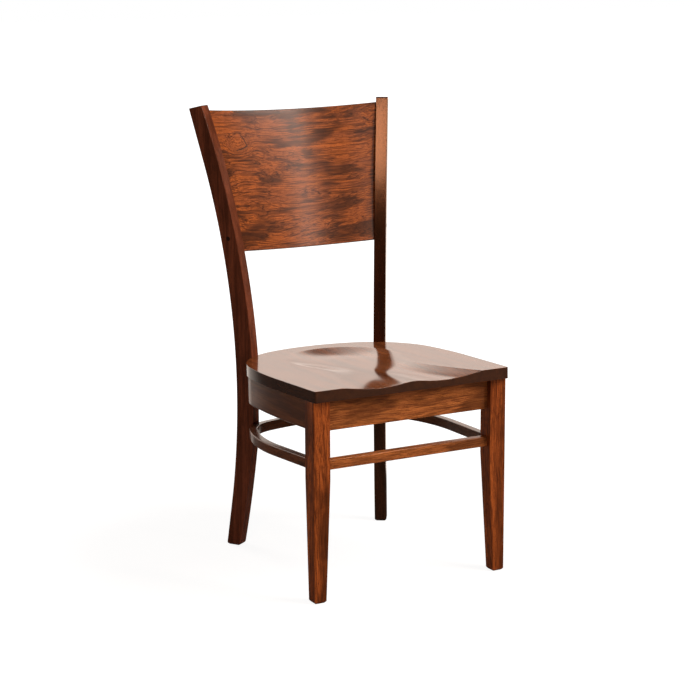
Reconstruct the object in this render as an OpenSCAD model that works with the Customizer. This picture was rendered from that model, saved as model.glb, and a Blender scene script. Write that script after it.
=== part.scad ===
// A wooden side chair. Two square front legs stand straight, two sabre shaped
// posts are turned outwards and run from the floor to the top of the back.
// A bent apron and a bent hoop stretcher join the four, a scooped seat lies on
// them, and a bowed panel sits in grooves of the posts.
// All sizes are in millimetres. The front of the chair looks towards -Y, and
// left and right are those of somebody who stands in front of it.

/* [Seat] */
// Height of the seat's rim over the floor, above the fronts of the front legs
seat_h = 457; // [420:1:500]
// Fall of the seat towards the back, in degrees
seat_slope = 1.78; // [0:0.1:3.5]
// Thickness of the seat at its rim
seat_t = 24.8; // [22:0.2:34]
// Width of the seat along its front edge
seat_front_w = 470.2; // [430:1:520]
// How much the seat is wider, on each side, where it is widest
seat_flare = 2.8; // [0:0.2:8]
// Depth of the seat from its front edge to the middle of its back edge
seat_d = 476.4; // [450:1:505]
// How far behind the front legs' fronts the seat is widest
seat_wide_y = 173; // [120:1:210]
// Radius of the seat's sides
seat_side_r = 865; // [600:5:1300]
// How far the seat's back edge, run on past its corner, would stand behind its notch
seat_back_past = 7.93; // [3:0.01:12]
// Overhang of the seat before the front legs
seat_front_over = 8.8; // [4:0.2:14]
// Overhang of the seat beside the front legs
seat_side_over = 0.8; // [0.4:0.2:8]
// Radius of the seat's front corners
seat_corner_r = 4; // [2:0.5:8]
// Easing of the seat's edges
seat_ease = 2.2; // [1:0.2:4]

/* [Scoop] */
// Depth of the scoop below the rim
scoop_depth = 9.6; // [6:0.2:12]
// Half width of the scoop at the seat's front edge
scoop_front_half = 170; // [140:1:185]
// Half width of the scoop at its waist
scoop_waist_half = 104; // [85:1:120]
// Distance of the waist behind the front legs' fronts
scoop_waist_y = 172; // [140:1:200]
// Half width of the bowl at the back of the scoop
scoop_bowl_half = 130; // [110:1:150]
// Distance of the bowl's widest place behind the front legs' fronts
scoop_bowl_y = 295; // [270:1:310]
// Distance of the scoop's back rim behind the front legs' fronts
scoop_back_y = 427; // [400:1:440]
// Width of the slope from the rim to the bottom of the scoop
scoop_blend = 94; // [60:1:100]
// Half width of the pommel between the two thighs
pommel_half = 38; // [30:1:60]
// Height of the pommel over the bottom of the scoop
pommel_h = 5.7; // [2:0.1:8]
// Distance over which the pommel dies out towards the back
pommel_len = 190; // [120:5:240]

/* [Front legs] */
// Side of a front leg's square section
leg_t = 39; // [34:0.5:46]
// Side of a front leg's section at the floor
leg_foot_t = 27.8; // [22:0.2:34]
// Height at which a front leg starts to taper
leg_taper_h = 265; // [200:1:275]
// Chamfer round the foot of a leg or post
foot_chamfer = 4; // [1:0.5:6]

/* [Back posts] */
// Turn of a post's outer face away from the chair's sides, in degrees
post_turn = 33.1; // [25:0.1:40]
// Thickness of a post across its faces
post_t = 27.7; // [22:0.1:34]
// Distance of a post's middle in from the seat's front corner, across the chair
post_in = 74.9; // [65:0.1:85]
// Distance of a post's front face before the seat's back edge
post_fore = 51.6; // [45:0.1:60]
// Depth of a post at the seat
post_depth = 41.5; // [36:0.5:48]
// Height of the top of a post
post_h = 999.7; // [960:1:1040]
// Lower end of the flat on the post's front, which the stretcher meets
post_flat_low = 266; // [240:1:270]
// Radius of the front of the post above the seat
post_front_r = 2010; // [1700:10:2600]
// Slope at which the front of the post leaves the seat
post_front_slope = 0.074; // [0.04:0.002:0.1]
// Radius of the front of the post below the stretcher
post_foot_r = 3170; // [2000:10:4200]
// Slope at which the front of the post goes down from the stretcher
post_foot_slope = 0.111; // [0.06:0.002:0.14]
// Radius of the hollow back of the post
post_back_r = 1807; // [1600:10:2100]
// Height at which the back of the post stands upright
post_back_mid = 355; // [330:1:380]
// Height below which the back of the post runs straight to the floor
post_back_low = 96; // [60:1:140]
// Height above which the back of the post runs straight to the top
post_back_high = 874; // [800:1:920]
// Fall of the post's top towards the back, in degrees
post_top_fall = 13; // [0:1:20]

/* [Aprons and stretchers] */
// Setback of the aprons and stretchers from the outer faces of the front legs
rail_setback = 12.8; // [8:0.1:16]
// Height of the aprons
apron_h = 66.7; // [58:0.1:74]
// Thickness of the aprons
apron_t = 19; // [16:0.5:21]
// How much the bent apron is wider, on each side, where it is widest
apron_flare = 2.5; // [0.5:0.1:5]
// How far behind the front legs' fronts the bent apron is widest
apron_wide_y = 150; // [120:1:190]
// Radius of the bent apron's sides
apron_side_r = 1485; // [900:5:2000]
// How far the bent apron's back, run on past its corner, would stand behind its notch
apron_back_past = 43.6; // [25:0.1:60]
// Distance of the bent apron's back inside the seat's back edge
apron_inset = 16; // [12:0.5:22]
// Height of the underside of the front stretcher, and of the hoop at the front
stretcher_low = 281.9; // [272:0.1:300]
// Height of the front stretcher and of the hoop
stretcher_h = 21.5; // [18:0.5:26]
// Thickness of the front stretcher
stretcher_t = 19; // [16:0.5:21]
// Thickness of the hoop
hoop_t = 18; // [15:0.5:21]
// How much the hoop is wider, on each side, where it is widest
hoop_flare = 9.2; // [6:0.1:12]
// How far behind the front legs' fronts the hoop is widest
hoop_wide_y = 215; // [190:1:240]
// Radius of the hoop's sides
hoop_side_r = 400; // [340:5:600]
// How far the hoop's back, run on past its corner, would stand behind its notch
hoop_back_past = 14.79; // [8:0.01:22]
// Distance of the hoop's back inside the seat's back edge
hoop_inset = 16; // [12:0.5:24]
// Depth of the seat's notches for the posts
seat_notch = 5.1; // [4:0.1:7]
// Depth of the bent apron's notches for the posts
apron_notch = 2.6; // [2:0.1:4]
// Depth of the hoop's notches for the posts
hoop_notch = 2.2; // [2:0.1:4]
// Radius of the eased edges of aprons and stretchers
rail_ease = 2; // [1:0.5:4]

/* [Back panel] */
// Height of the panel's lower corners
panel_low = 678.6; // [640:1:720]
// Height of the panel's upper corners
panel_high = 988; // [930:1:990]
// Thickness of the panel
panel_t = 12; // [9:0.5:14]
// Radius of the panel's bow
panel_r = 690; // [600:5:900]
// Distance of the panel's face behind the fronts of the posts, at its corners
panel_back = 2.4; // [1.6:0.2:4]
// How deep the panel's edges sit in the posts
groove_depth = 8; // [6:0.5:10]

/* [Joinery] */
// Diameter of the dowels
dowel_d = 9.5; // [8:0.5:10]
// How deep an apron's dowel sits in the leg
dowel_in_leg = 19; // [14:0.5:21]
// How deep a stretcher's dowel sits in the leg
low_dowel_in_leg = 11; // [8:0.5:11.5]
// How deep a dowel sits in its apron or stretcher
dowel_in_rail = 24; // [18:0.5:30]
// Distance of the lowest dowel over an apron's lower edge
dowel_edge = 10.5; // [8:0.5:12]
// Distance from one dowel to the next in an apron's end
dowel_pitch = 31; // [29:0.5:32]
// Length of a corner block along an apron
block_leg = 46; // [42:0.5:56]
// Height of a corner block
block_h = 40; // [34:1:46]
// Distance of a corner block under the seat
block_drop = 4; // [1:0.5:8]
// Diameter of the post bolts
bolt_d = 6; // [5:0.5:8]
// Distance between the two bolts of a post
bolt_pitch = 34; // [28:1:38]
// How deep a bolt and its insert sit in the post
bolt_in_post = 15; // [12:0.5:20]
// Wood left between a bolt's washer and the post
bolt_grip = 13; // [11.5:0.5:14]
// Diameter of the wood screws
screw_d = 4.5; // [4:0.5:5.5]
// Length of the wood screws
screw_len = 40; // [34:1:42]
// Height of the plugged screw that holds the panel in each post
plug_z = 707.7; // [700:0.5:730]
// Diameter of the plug over the panel's screw
plug_d = 9.5; // [8:0.5:11]
// Thickness of the plug
plug_t = 6; // [4:0.5:7]

/* [Fits] */
// Clearance round a dowel, a bolt or a screw, on the radius
hole_fit = 0.2; // [0.1:0.05:0.3]
// Clearance on each side of a post in its notch, and of the panel in its groove
joint_fit = 0.2; // [0.1:0.05:0.3]

/* [Hidden] */

fine_fn = 48;            // small round things
bend_fn = 360;           // wide bends
side_steps = 6;          // rings along the side, corner and back arcs of a bend
corner_steps = 16;
back_steps = 6;
past = 1;                // cutters reach this far past what they cut
post_flat_over = 4;      // a post's flat front reaches this far over the seat

dark_wood = "#4a2417";
leg_wood = "#8a4420";
seat_wood = "#9a6a4c";
panel_wood = "#94502c";
block_wood = "#c89a68";
dowel_wood = "#d8b483";
steel = "#b9bcc0";
brass = "#c9a655";

// The front legs and what hangs on them
leg_half = seat_front_w / 2 - seat_side_over;
rail_half = leg_half - rail_setback;
leg_in_x = leg_half - leg_t;
fall = tan(seat_slope);

// Each post stands in its own frame: its front face's middle, the way its
// depth runs and the way its thickness runs
post_dir = [sin(post_turn), cos(post_turn)];
post_side = [cos(post_turn), -sin(post_turn)];
seat_back_y = seat_d - seat_front_over;
post_mid = [seat_front_w / 2 - post_in, seat_back_y - post_fore];
post_reach = post_mid * post_dir;
seat_under = seat_h - seat_t;
// Height of the seat's rim where the posts' fronts meet it
seat_at_post = seat_h - post_mid.y * fall;
post_flat_high = seat_at_post + post_flat_over;

// A bend is a straight front, a side arc, a corner arc and a back arc, each
// tangent to the next. Along post_dir the corner arc reaches the notch for the
// post, and the back arc would reach back_past further, so that the radii of
// both follow from where the posts stand.
function corner_radius(side_c, side_r, back_c, back_r, reach) =
    let (between = 2 * (side_c - back_c),
         sum = back_r * back_r - side_r * side_r + side_c * side_c - back_c * back_c,
         flat = between * post_dir,
         cross_way = between * post_side,
         p = (sum - flat * reach) / cross_way,
         q = (flat - 2 * (back_r - side_r)) / cross_way,
         along = side_c * post_dir,
         across = side_c * post_side,
         a = q * q,
         b = 2 * (p * q - reach + along - across * q + side_r),
         c = reach * reach + p * p - 2 * along * reach - 2 * across * p
             + side_c * side_c - side_r * side_r)
    [for (way = [-1, 1])
        let (r = (-b + way * sqrt(b * b - 4 * a * c)) / (2 * a))
        [r, (reach - r) * post_dir + (p + q * r) * post_side]];

function bend(front_x, front_y, half, wide_y, side_r, back_y, reach, back_past) =
    let (back_r = (reach + back_past - back_y * post_dir.y) / (1 - post_dir.y),
         side_c = [half - side_r, wide_y],
         back_c = [0, back_y - back_r],
         both = corner_radius(side_c, side_r, back_c, back_r, reach),
         pick = both[0][0] > 0 && both[0][0] < back_r && both[0][1].x > 0 ? both[0] : both[1],
         corner_c = pick[1],
         to_front = [front_x, front_y] - side_c,
         straight = sqrt(max(0, to_front * to_front - side_r * side_r)),
         start = atan2(to_front.y, to_front.x) + atan2(straight, side_r),
         turn = atan2(corner_c.y - side_c.y, corner_c.x - side_c.x),
         last = atan2(corner_c.y - back_c.y, corner_c.x - back_c.x))
    [straight, [side_c, side_r, start, turn], [corner_c, pick[0], turn, last],
     [back_c, back_r, last, 90]];

function arc_point(arc, angle) = arc[0] + arc[1] * [cos(angle), sin(angle)];

seat_bend = bend(seat_front_w / 2, -seat_front_over, seat_front_w / 2 + seat_flare, seat_wide_y,
                 seat_side_r, seat_back_y, post_reach + seat_notch, seat_back_past);
apron_bend = bend(rail_half, leg_t, rail_half + apron_flare, apron_wide_y, apron_side_r,
                  seat_back_y - apron_inset, post_reach + apron_notch, apron_back_past);
hoop_bend = bend(rail_half, leg_t, rail_half + hoop_flare, hoop_wide_y, hoop_side_r,
                 seat_back_y - hoop_inset, post_reach + hoop_notch, hoop_back_past);

// The post's outline, as depth behind its flat front against height
front_up_c = [post_front_r * cos(atan(post_front_slope)),
              post_flat_high - post_front_r * sin(atan(post_front_slope))];
front_down_c = [post_foot_r * cos(atan(post_foot_slope)),
                post_flat_low + post_foot_r * sin(atan(post_foot_slope))];
back_hollow_c = [post_depth + post_back_r, post_back_mid];

post_top_in = front_at(post_h);
back_top_slope = back_slope(post_back_high);
top_fall = tan(post_top_fall);
post_back_top = (back_at(post_back_high)
                 + back_top_slope * (post_h + post_top_in * top_fall - post_back_high))
                / (1 + back_top_slope * top_fall);
post_span = post_back_top + post_depth;

function arc_depth(center, r, h) = center.x - sqrt(r * r - pow(h - center.y, 2));
function front_at(h) = h > post_flat_high ? arc_depth(front_up_c, post_front_r, h)
                     : h < post_flat_low ? arc_depth(front_down_c, post_foot_r, h) : 0;
function back_slope(h) = (h - post_back_mid) / sqrt(pow(post_back_r, 2) - pow(h - post_back_mid, 2));
function back_at(h) =
    let (near = min(max(h, post_back_low), post_back_high))
    arc_depth(back_hollow_c, post_back_r, near) + back_slope(near) * (h - near);

// The panel bows round a leaning axis and meets the posts' inner faces
function sag(x) = panel_r - sqrt(panel_r * panel_r - x * x);
function panel_corner(h) = post_mid + (front_at(h) + panel_back) * post_dir - post_t / 2 * post_side;
panel_low_c = panel_corner(panel_low);
panel_high_c = panel_corner(panel_high);
panel_run = [panel_high_c.y - panel_low_c.y, panel_high - panel_low];
panel_lean = atan2(panel_run.x, panel_run.y)
             + asin((sag(panel_high_c.x) - sag(panel_low_c.x)) / norm(panel_run));
panel_len = panel_run.x * sin(panel_lean) + panel_run.y * cos(panel_lean);
panel_half = asin((panel_high_c.x + post_t) / panel_r);
// Where the plugged screw runs: along the panel's own edge
plug_part = (plug_z - panel_low) / (panel_high - panel_low);
plug_x = panel_low_c.x + plug_part * (panel_high_c.x - panel_low_c.x);
plug_turn = asin(plug_x / panel_r);
plug_run = post_t / cos(post_turn - plug_turn);
plug_head = plug_run - plug_t;

// Depth of the whole chair, so that its middle comes over the origin
front_most = -seat_front_over * cos(seat_slope) - (seat_t - seat_ease) * sin(seat_slope);
back_most = max(post_mid.y + post_back_top * post_dir.y - post_t / 2 * post_side.y,
                panel_low_c.y + (sag(panel_low_c.x) + panel_t) * cos(panel_lean)
                + panel_len * sin(panel_lean));
mid_y = (front_most + back_most) / 2;

// Places of dowels, bolts and screws
apron_low = seat_under - apron_h;
front_dowel_z = [apron_low + dowel_edge, apron_low + dowel_edge + dowel_pitch];
bent_dowel_z = [for (z = front_dowel_z) z + dowel_pitch / 2];
apron_mid_y = rail_setback + apron_t / 2;
stretcher_mid_y = rail_setback + stretcher_t / 2;
stretcher_mid_z = stretcher_low + stretcher_h / 2;
hoop_end_z = stretcher_mid_z - leg_t * fall;
bolt_mid_z = apron_low + apron_h / 2 - post_mid.y * fall;
bolt_z = [bolt_mid_z - bolt_pitch / 2, bolt_mid_z + bolt_pitch / 2];
hoop_screw_z = stretcher_mid_z - post_mid.y * fall;
washer_d = 16;
washer_t = 1.5;
washer_room = 1;
bolt_head_d = bolt_d + 4;
bolt_head_h = bolt_d;
bolt_key = bolt_d - 1;
insert_d = bolt_d + 4;
screw_head_d = 2 * screw_d;
screw_head_h = 3;
screw_tip = 5;
screw_point_d = 0.6;
dowel_chamfer = 1.2;
screw_key = 2.4;
seat_bite = 14;          // a seat screw goes this far into the seat
block_top = seat_under - block_drop - (leg_t + block_leg) * fall;
block_flare = -tan(apron_bend[1][2]);
block_end_w = 10;        // width of a corner block's two ends
block_screw_end = 18;    // and its screws' distance from them
block_seat_hole = [leg_in_x - block_end_w, leg_t + block_end_w];
block_screw_len = 28;
block_bite = 14;         // and a corner block's screw this far into its apron
rear_screw_x = 70;
rear_screw_y = apron_bend[3][0].y + sqrt(pow(apron_bend[3][1] - apron_t / 2, 2) - pow(rear_screw_x, 2));

// Frames that the pieces are drawn in
module placed() translate([0, -mid_y, 0]) children();
module side(way) mirror([way < 0 ? 1 : 0, 0, 0]) children();
module both_sides() for (way = [-1, 1]) side(way) children();
module sloped(h) translate([0, 0, h]) rotate([-seat_slope, 0, 0]) children();
module at_post() translate([post_mid.x, post_mid.y, 0]) rotate([0, 0, -post_turn]) children();
module into_post(h) at_post() translate([0, 0, h]) rotate([-90, 0, 0]) children();
module panel_frame()
    translate([0, panel_low_c.y + sag(panel_low_c.x) * cos(panel_lean),
               panel_low - sag(panel_low_c.x) * sin(panel_lean)])
    rotate([-panel_lean, 0, 0]) translate([0, -panel_r, 0]) children();
// From the panel's edge at the post's inner face, z runs out through the post
module at_plug()
    panel_frame()
    translate([0, 0, plug_part * panel_len]) rotate([0, 0, -plug_turn])
    translate([0, panel_r + panel_t / 2, 0]) rotate([0, 90, 0]) children();

// A flat bar's section with eased edges, from the origin up and to the right
function bar_outline(w, h) =
    [[rail_ease, 0], [w - rail_ease, 0], [w, rail_ease], [w, h - rail_ease],
     [w - rail_ease, h], [rail_ease, h], [0, h - rail_ease], [0, rail_ease]];

// Stations along a bend, each an outer point and the way outwards, from the
// right front end to the middle of the back
function stations(arc, steps) =
    [for (i = [1:steps])
        let (a = arc[2] + (arc[3] - arc[2]) * i / steps) [arc_point(arc, a), [cos(a), sin(a)]]];
function bend_stations(b, more) =
    let (out = [cos(b[1][2]), sin(b[1][2])], start = arc_point(b[1], b[1][2]))
    concat([[start + (b[0] + more) * [out.y, -out.x], out], [start, out]],
           stations(b[1], side_steps), stations(b[2], corner_steps), stations(b[3], back_steps));
function mirrored(v) = [-v.x, v.y];
function both_ways(half) =
    concat(half, [for (i = [len(half) - 2:-1:0]) [mirrored(half[i][0]), mirrored(half[i][1])]]);

// A bar bent along b, with its front ends run on a little to be trimmed
module bent_bar(b, t, h)
    skin([for (s = both_ways(bend_stations(b, rail_setback)))
            [for (q = bar_outline(t, h))
                let (p = s[0] - q.x * s[1]) [p.x, p.y, q.y]]]);

// What is cut from a bent bar: the room of the legs before it, and of the posts
module rail_trim(low, high) {
    translate([-leg_half - past, -leg_t, low])
        cube([2 * (leg_half + past), 2 * leg_t, high - low]);
    both_sides() at_post() translate([-post_t / 2 - joint_fit, 0, low])
        cube([post_t + 2 * joint_fit, post_depth, high - low]);
}

// Everything above the seat's underside
module over_underside()
    sloped(seat_under) translate([-seat_front_w, -seat_d, 0]) cube([2 * seat_front_w, 3 * seat_d, seat_h]);

module dowel(in_leg) {
    len = in_leg + dowel_in_rail;
    end = dowel_chamfer;
    translate([0, 0, -dowel_in_rail]) {
        cylinder(h = end, d1 = dowel_d - 2 * end, d2 = dowel_d, $fn = fine_fn);
        translate([0, 0, end]) cylinder(h = len - 2 * end, d = dowel_d, $fn = fine_fn);
        translate([0, 0, len - end]) cylinder(h = end, d1 = dowel_d, d2 = dowel_d - 2 * end, $fn = fine_fn);
    }
}
module dowel_hole(in_leg)
    translate([0, 0, -dowel_in_rail - hole_fit])
    cylinder(h = in_leg + dowel_in_rail + 2 * hole_fit, d = dowel_d + 2 * hole_fit, $fn = fine_fn);

// Ends of the front apron and stretcher in the legs' inner faces, and of the
// bent ones in their backs, with z running into the leg
module into_leg_side(y, z) both_sides() translate([leg_in_x, y, z]) rotate([0, 90, 0]) children();
module into_leg_back(x, z) both_sides() translate([x, leg_t, z]) rotate([90, 0, 0]) children();

module front_apron_joints() for (z = front_dowel_z) into_leg_side(apron_mid_y, z) children();
module bent_apron_joints() for (z = bent_dowel_z) into_leg_back(rail_half - apron_t / 2, z) children();
module front_stretcher_joints() into_leg_side(stretcher_mid_y, stretcher_mid_z) children();
module hoop_joints() into_leg_back(rail_half - hoop_t / 2, hoop_end_z) children();

// A countersunk wood screw with its head's top at the origin, running up z
module wood_screw(len = screw_len) difference() {
    union() {
        cylinder(h = screw_head_h, d1 = screw_head_d, d2 = screw_d, $fn = fine_fn);
        translate([0, 0, screw_head_h]) cylinder(h = len - screw_head_h - screw_tip, d = screw_d, $fn = fine_fn);
        translate([0, 0, len - screw_tip]) cylinder(h = screw_tip, d1 = screw_d, d2 = screw_point_d, $fn = fine_fn);
    }
    translate([-screw_key / 2, -screw_key / 2, -past]) cube([screw_key, screw_key, past + screw_head_h / 2]);
}
module screw_hole(sink, len = screw_len) {
    translate([0, 0, -sink]) cylinder(h = sink + hole_fit, d = screw_head_d + 2 * hole_fit, $fn = fine_fn);
    cylinder(h = screw_head_h, d1 = screw_head_d + 2 * hole_fit, d2 = screw_d + 2 * hole_fit, $fn = fine_fn);
    cylinder(h = len + hole_fit, d = screw_d + 2 * hole_fit, $fn = fine_fn);
}

module corner_block_screw_places() both_sides() {
    translate([leg_in_x - block_leg + block_screw_end, rail_setback + apron_t + block_screw_len - block_bite,
               front_dowel_z[0] + dowel_pitch / 2])
        rotate([90, 0, 0]) children();
    translate([rail_half - apron_t - block_screw_len + block_bite, leg_t + block_leg - block_screw_end,
               front_dowel_z[1]])
        rotate([0, 90, 0]) children();
}
module front_seat_screw_places() both_sides()
    translate([block_seat_hole.x, block_seat_hole.y,
               seat_under - block_seat_hole.y * fall + seat_bite - screw_len]) children();
module rear_seat_screw_places() both_sides()
    translate([rear_screw_x, rear_screw_y, seat_under - rear_screw_y * fall + seat_bite - screw_len]) children();
module hoop_screw_places() both_sides() into_post(hoop_screw_z) translate([0, 0, -bolt_grip]) children();
module bolt_places() both_sides() for (z = bolt_z) into_post(z) children();
module plug_places() both_sides() at_plug() children();

// How the scoop widens to the front, how square its bowl is, and how soon its
// sides grow steep
scoop_front_power = 1.6;
scoop_bowl_power = 2;
scoop_side_power = 1.1;

// How much the scoop is wide at y, and how deep it is at a point
function ease_in(t) = let (u = min(max(t, 0), 1)) u * u * (3 - 2 * u);
function scoop_half(y) =
    y < scoop_waist_y
    ? scoop_waist_half + (scoop_front_half - scoop_waist_half)
      * pow((scoop_waist_y - y) / (scoop_waist_y + seat_front_over), scoop_front_power)
    : scoop_waist_half + (scoop_bowl_half - scoop_waist_half)
      * ease_in((y - scoop_waist_y) / (scoop_bowl_y - scoop_waist_y));
function bowl_inside(x, y) =
    let (p = scoop_bowl_power)
    scoop_bowl_half * (1 - pow(pow(abs(x) / scoop_bowl_half, p)
                               + pow((y - scoop_bowl_y) / (scoop_back_y - scoop_bowl_y), p), 1 / p));
function scoop_inside(x, y) = y > scoop_bowl_y ? bowl_inside(x, y) : scoop_half(y) - abs(x);
function pommel(x, y) =
    pommel_h / scoop_depth * exp(-pow(x / pommel_half, 2)) * (1 - ease_in((y + seat_front_over) / pommel_len));
function dip(x, y) =
    let (t = min(max(scoop_inside(x, y) / scoop_blend, 0), 1))
    scoop_depth * pow(sin(90 * t), scoop_side_power) * (1 - pommel(x, y));

// Points along the seat's front edge, and from its corner to where its side
// starts to bend
front_steps = 20;
straight_steps = 6;
// Rings over the seat from its rim to near its hub: close ones, then wider ones
rim_rings = 10;
rim_ring_gap = 0.03;
hub_rings = 9;
hub_ring_gap = 0.075;
hub_back = 40;           // the hub is this far behind the scoop's waist

// The seat's outline, counterclockwise from the middle of its front edge
function arc_points(arc, steps) =
    [for (i = [1:steps]) arc_point(arc, arc[2] + (arc[3] - arc[2]) * i / steps)];
function seat_right() =
    let (front_x = seat_front_w / 2 - seat_corner_r,
         tangent = arc_point(seat_bend[1], seat_bend[1][2]),
         corner = [seat_front_w / 2, -seat_front_over])
    concat([for (i = [0:front_steps]) [front_x * i / front_steps, -seat_front_over]],
           [for (a = [-60:30:0]) corner + seat_corner_r * [cos(a) - 1, 1 + sin(a)]],
           [for (i = [1:straight_steps]) corner + (tangent - corner) * i / straight_steps],
           arc_points(seat_bend[1], side_steps), arc_points(seat_bend[2], corner_steps),
           arc_points(seat_bend[3], back_steps));
function whole(right) =
    let (n = len(right))
    concat(right, [for (i = [n - 2:-1:1]) [-right[i].x, right[i].y]]);
seat_edge = whole(seat_right());
seat_hub = [0, scoop_waist_y + hub_back];
function towards_hub(p, inset) = p + inset * (seat_hub - p) / norm(seat_hub - p);
function scaled_ring(part) = [for (p = seat_edge) seat_hub + part * (towards_hub(p, seat_ease) - seat_hub)];
function lifted(ring, drop) = [for (p = ring) [p.x, p.y, -dip(p.x, p.y) - drop]];
function level(ring, z) = [for (p = ring) [p.x, p.y, z]];
function inset_ring(inset) = [for (p = seat_edge) towards_hub(p, inset)];

rim_part = 1 - rim_rings * rim_ring_gap;
seat_parts = concat([for (i = [0:rim_rings]) 1 - rim_ring_gap * i],
                    [for (i = [1:hub_rings]) rim_part - hub_ring_gap * i]);
seat_rings = concat(
    [level(inset_ring(seat_ease), -seat_t),
     level(inset_ring(seat_ease / 3), -seat_t + seat_ease / 3),
     level(seat_edge, -seat_t + seat_ease),
     lifted(seat_edge, seat_ease),
     lifted(inset_ring(seat_ease / 3), seat_ease / 3)],
    [for (part = seat_parts) lifted(scaled_ring(part), 0)]);

// A closed skin over rings of equally many points. Its first end is flat, and
// its last end is flat too or runs together in a point.
module skin(rings, tip) {
    n = len(rings[0]);
    last = n * (len(rings) - 1);
    polyhedron(
        points = concat([for (r = rings, p = r) p], is_undef(tip) ? [] : [tip]),
        faces = concat(
            [[for (i = [0:n - 1]) i]],
            [for (k = [0:len(rings) - 2], i = [0:n - 1], half = [0, 1])
                let (j = (i + 1) % n, a = k * n, b = a + n)
                half == 0 ? [a + i, b + i, b + j] : [a + i, b + j, a + j]],
            is_undef(tip) ? [[for (i = [n - 1:-1:0]) last + i]]
                          : [for (i = [0:n - 1]) [last + i, last + n, last + (i + 1) % n]]));
}

module seat() color(seat_wood) placed() difference() {
    sloped(seat_h) skin(seat_rings, [seat_hub.x, seat_hub.y, -dip(seat_hub.x, seat_hub.y)]);
    both_sides() at_post() translate([-post_t / 2 - joint_fit, 0, seat_under / 2])
        cube([post_t + 2 * joint_fit, post_depth, seat_h]);
    front_seat_screw_places() screw_hole(past);
    rear_seat_screw_places() screw_hole(past);
}

// A leg's outline from its outer or front face inwards, with that face at 0
module leg_outline() {
    foot = leg_foot_t + (leg_t - leg_foot_t) * foot_chamfer / leg_taper_h;
    polygon([[foot_chamfer, 0], [leg_foot_t - foot_chamfer, 0], [foot, foot_chamfer],
             [leg_t, leg_taper_h], [leg_t, seat_h], [0, seat_h], [0, foot_chamfer]]);
}
module front_leg(way) color(leg_wood) placed() difference() {
    side(way) intersection() {
        translate([leg_half, leg_t, 0]) mirror([1, 0, 0]) rotate([90, 0, 0])
            linear_extrude(leg_t) leg_outline();
        translate([leg_in_x, 0, 0]) rotate([90, 0, 90]) linear_extrude(leg_t) leg_outline();
    }
    over_underside();
    front_apron_joints() dowel_hole(dowel_in_leg);
    bent_apron_joints() dowel_hole(dowel_in_leg);
    front_stretcher_joints() dowel_hole(low_dowel_in_leg);
    hoop_joints() dowel_hole(low_dowel_in_leg);
}
module front_leg_left() front_leg(-1);
module front_leg_right() front_leg(1);

// The post's front: an arc down to the floor, a flat, and an arc to the top
module post_front() {
    translate([0, post_flat_low]) square([post_span, post_flat_high - post_flat_low]);
    intersection() {
        translate(front_down_c) circle(post_foot_r, $fn = bend_fn);
        square([post_span, post_flat_low]);
    }
    intersection() {
        translate(front_up_c) circle(post_front_r, $fn = bend_fn);
        translate([0, post_flat_high]) square([post_span, post_h - post_flat_high]);
    }
}
// What lies behind the post's hollow back, and above its top
module post_behind() {
    far = post_span + past;
    intersection() {
        translate(back_hollow_c) circle(post_back_r, $fn = bend_fn);
        translate([0, post_back_low]) square([far, post_back_high - post_back_low]);
    }
    polygon([[back_at(post_back_low), post_back_low], [back_at(-past), -past],
             [far, -past], [far, post_back_low]]);
    polygon([[back_at(post_back_high), post_back_high], [far, post_back_high], [far, post_h + past],
             [back_at(post_h + past), post_h + past]]);
    polygon([[post_top_in - past, post_h + past * top_fall], [far, post_h - (far - post_top_in) * top_fall],
             [far, post_h + past], [post_top_in - past, post_h + past]]);
}
module post_foot_trim() {
    low = [front_at(0), back_at(0)];
    high = [front_at(foot_chamfer), back_at(foot_chamfer)];
    polygon([[0, -past], [low[0] + foot_chamfer, -past], [low[0] + foot_chamfer, 0],
             [high[0], foot_chamfer], [0, foot_chamfer]]);
    polygon([[post_span, -past], [low[1] - foot_chamfer, -past], [low[1] - foot_chamfer, 0],
             [high[1], foot_chamfer], [post_span, foot_chamfer]]);
}
module rear_post(way) color(dark_wood) placed() difference() {
    side(way) difference() {
        at_post() intersection() {
            rotate([90, 0, 90]) translate([0, 0, -post_t / 2]) linear_extrude(post_t) difference() {
                post_front();
                post_behind();
                post_foot_trim();
            }
            rotate([90, 0, 0]) translate([0, 0, -post_span - past]) linear_extrude(post_span + 2 * past)
                polygon([[foot_chamfer - post_t / 2, 0], [post_t / 2 - foot_chamfer, 0],
                         [post_t / 2, foot_chamfer], [post_t / 2, post_h + past],
                         [-post_t / 2, post_h + past], [-post_t / 2, foot_chamfer]]);
        }
        intersection() {
            panel_shell(joint_fit);
            at_post() translate([-post_t / 2 - past, 0, 0])
                cube([past + groove_depth + joint_fit, post_span, post_h]);
        }
    }
    bolt_places() cylinder(h = bolt_in_post + past, d = insert_d + 2 * hole_fit, $fn = fine_fn);
    hoop_screw_places() screw_hole(0);
    plug_places() translate([0, 0, plug_head]) {
        mirror([0, 0, 1]) screw_hole(0);
        cylinder(h = post_t, d = plug_d + 2 * hole_fit, $fn = fine_fn);
    }
}
module rear_post_left() rear_post(-1);
module rear_post_right() rear_post(1);

module cross_rail(face_y, low, t, h)
    translate([-leg_in_x, face_y, low]) rotate([90, 0, 90]) linear_extrude(2 * leg_in_x) polygon(bar_outline(t, h));

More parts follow.
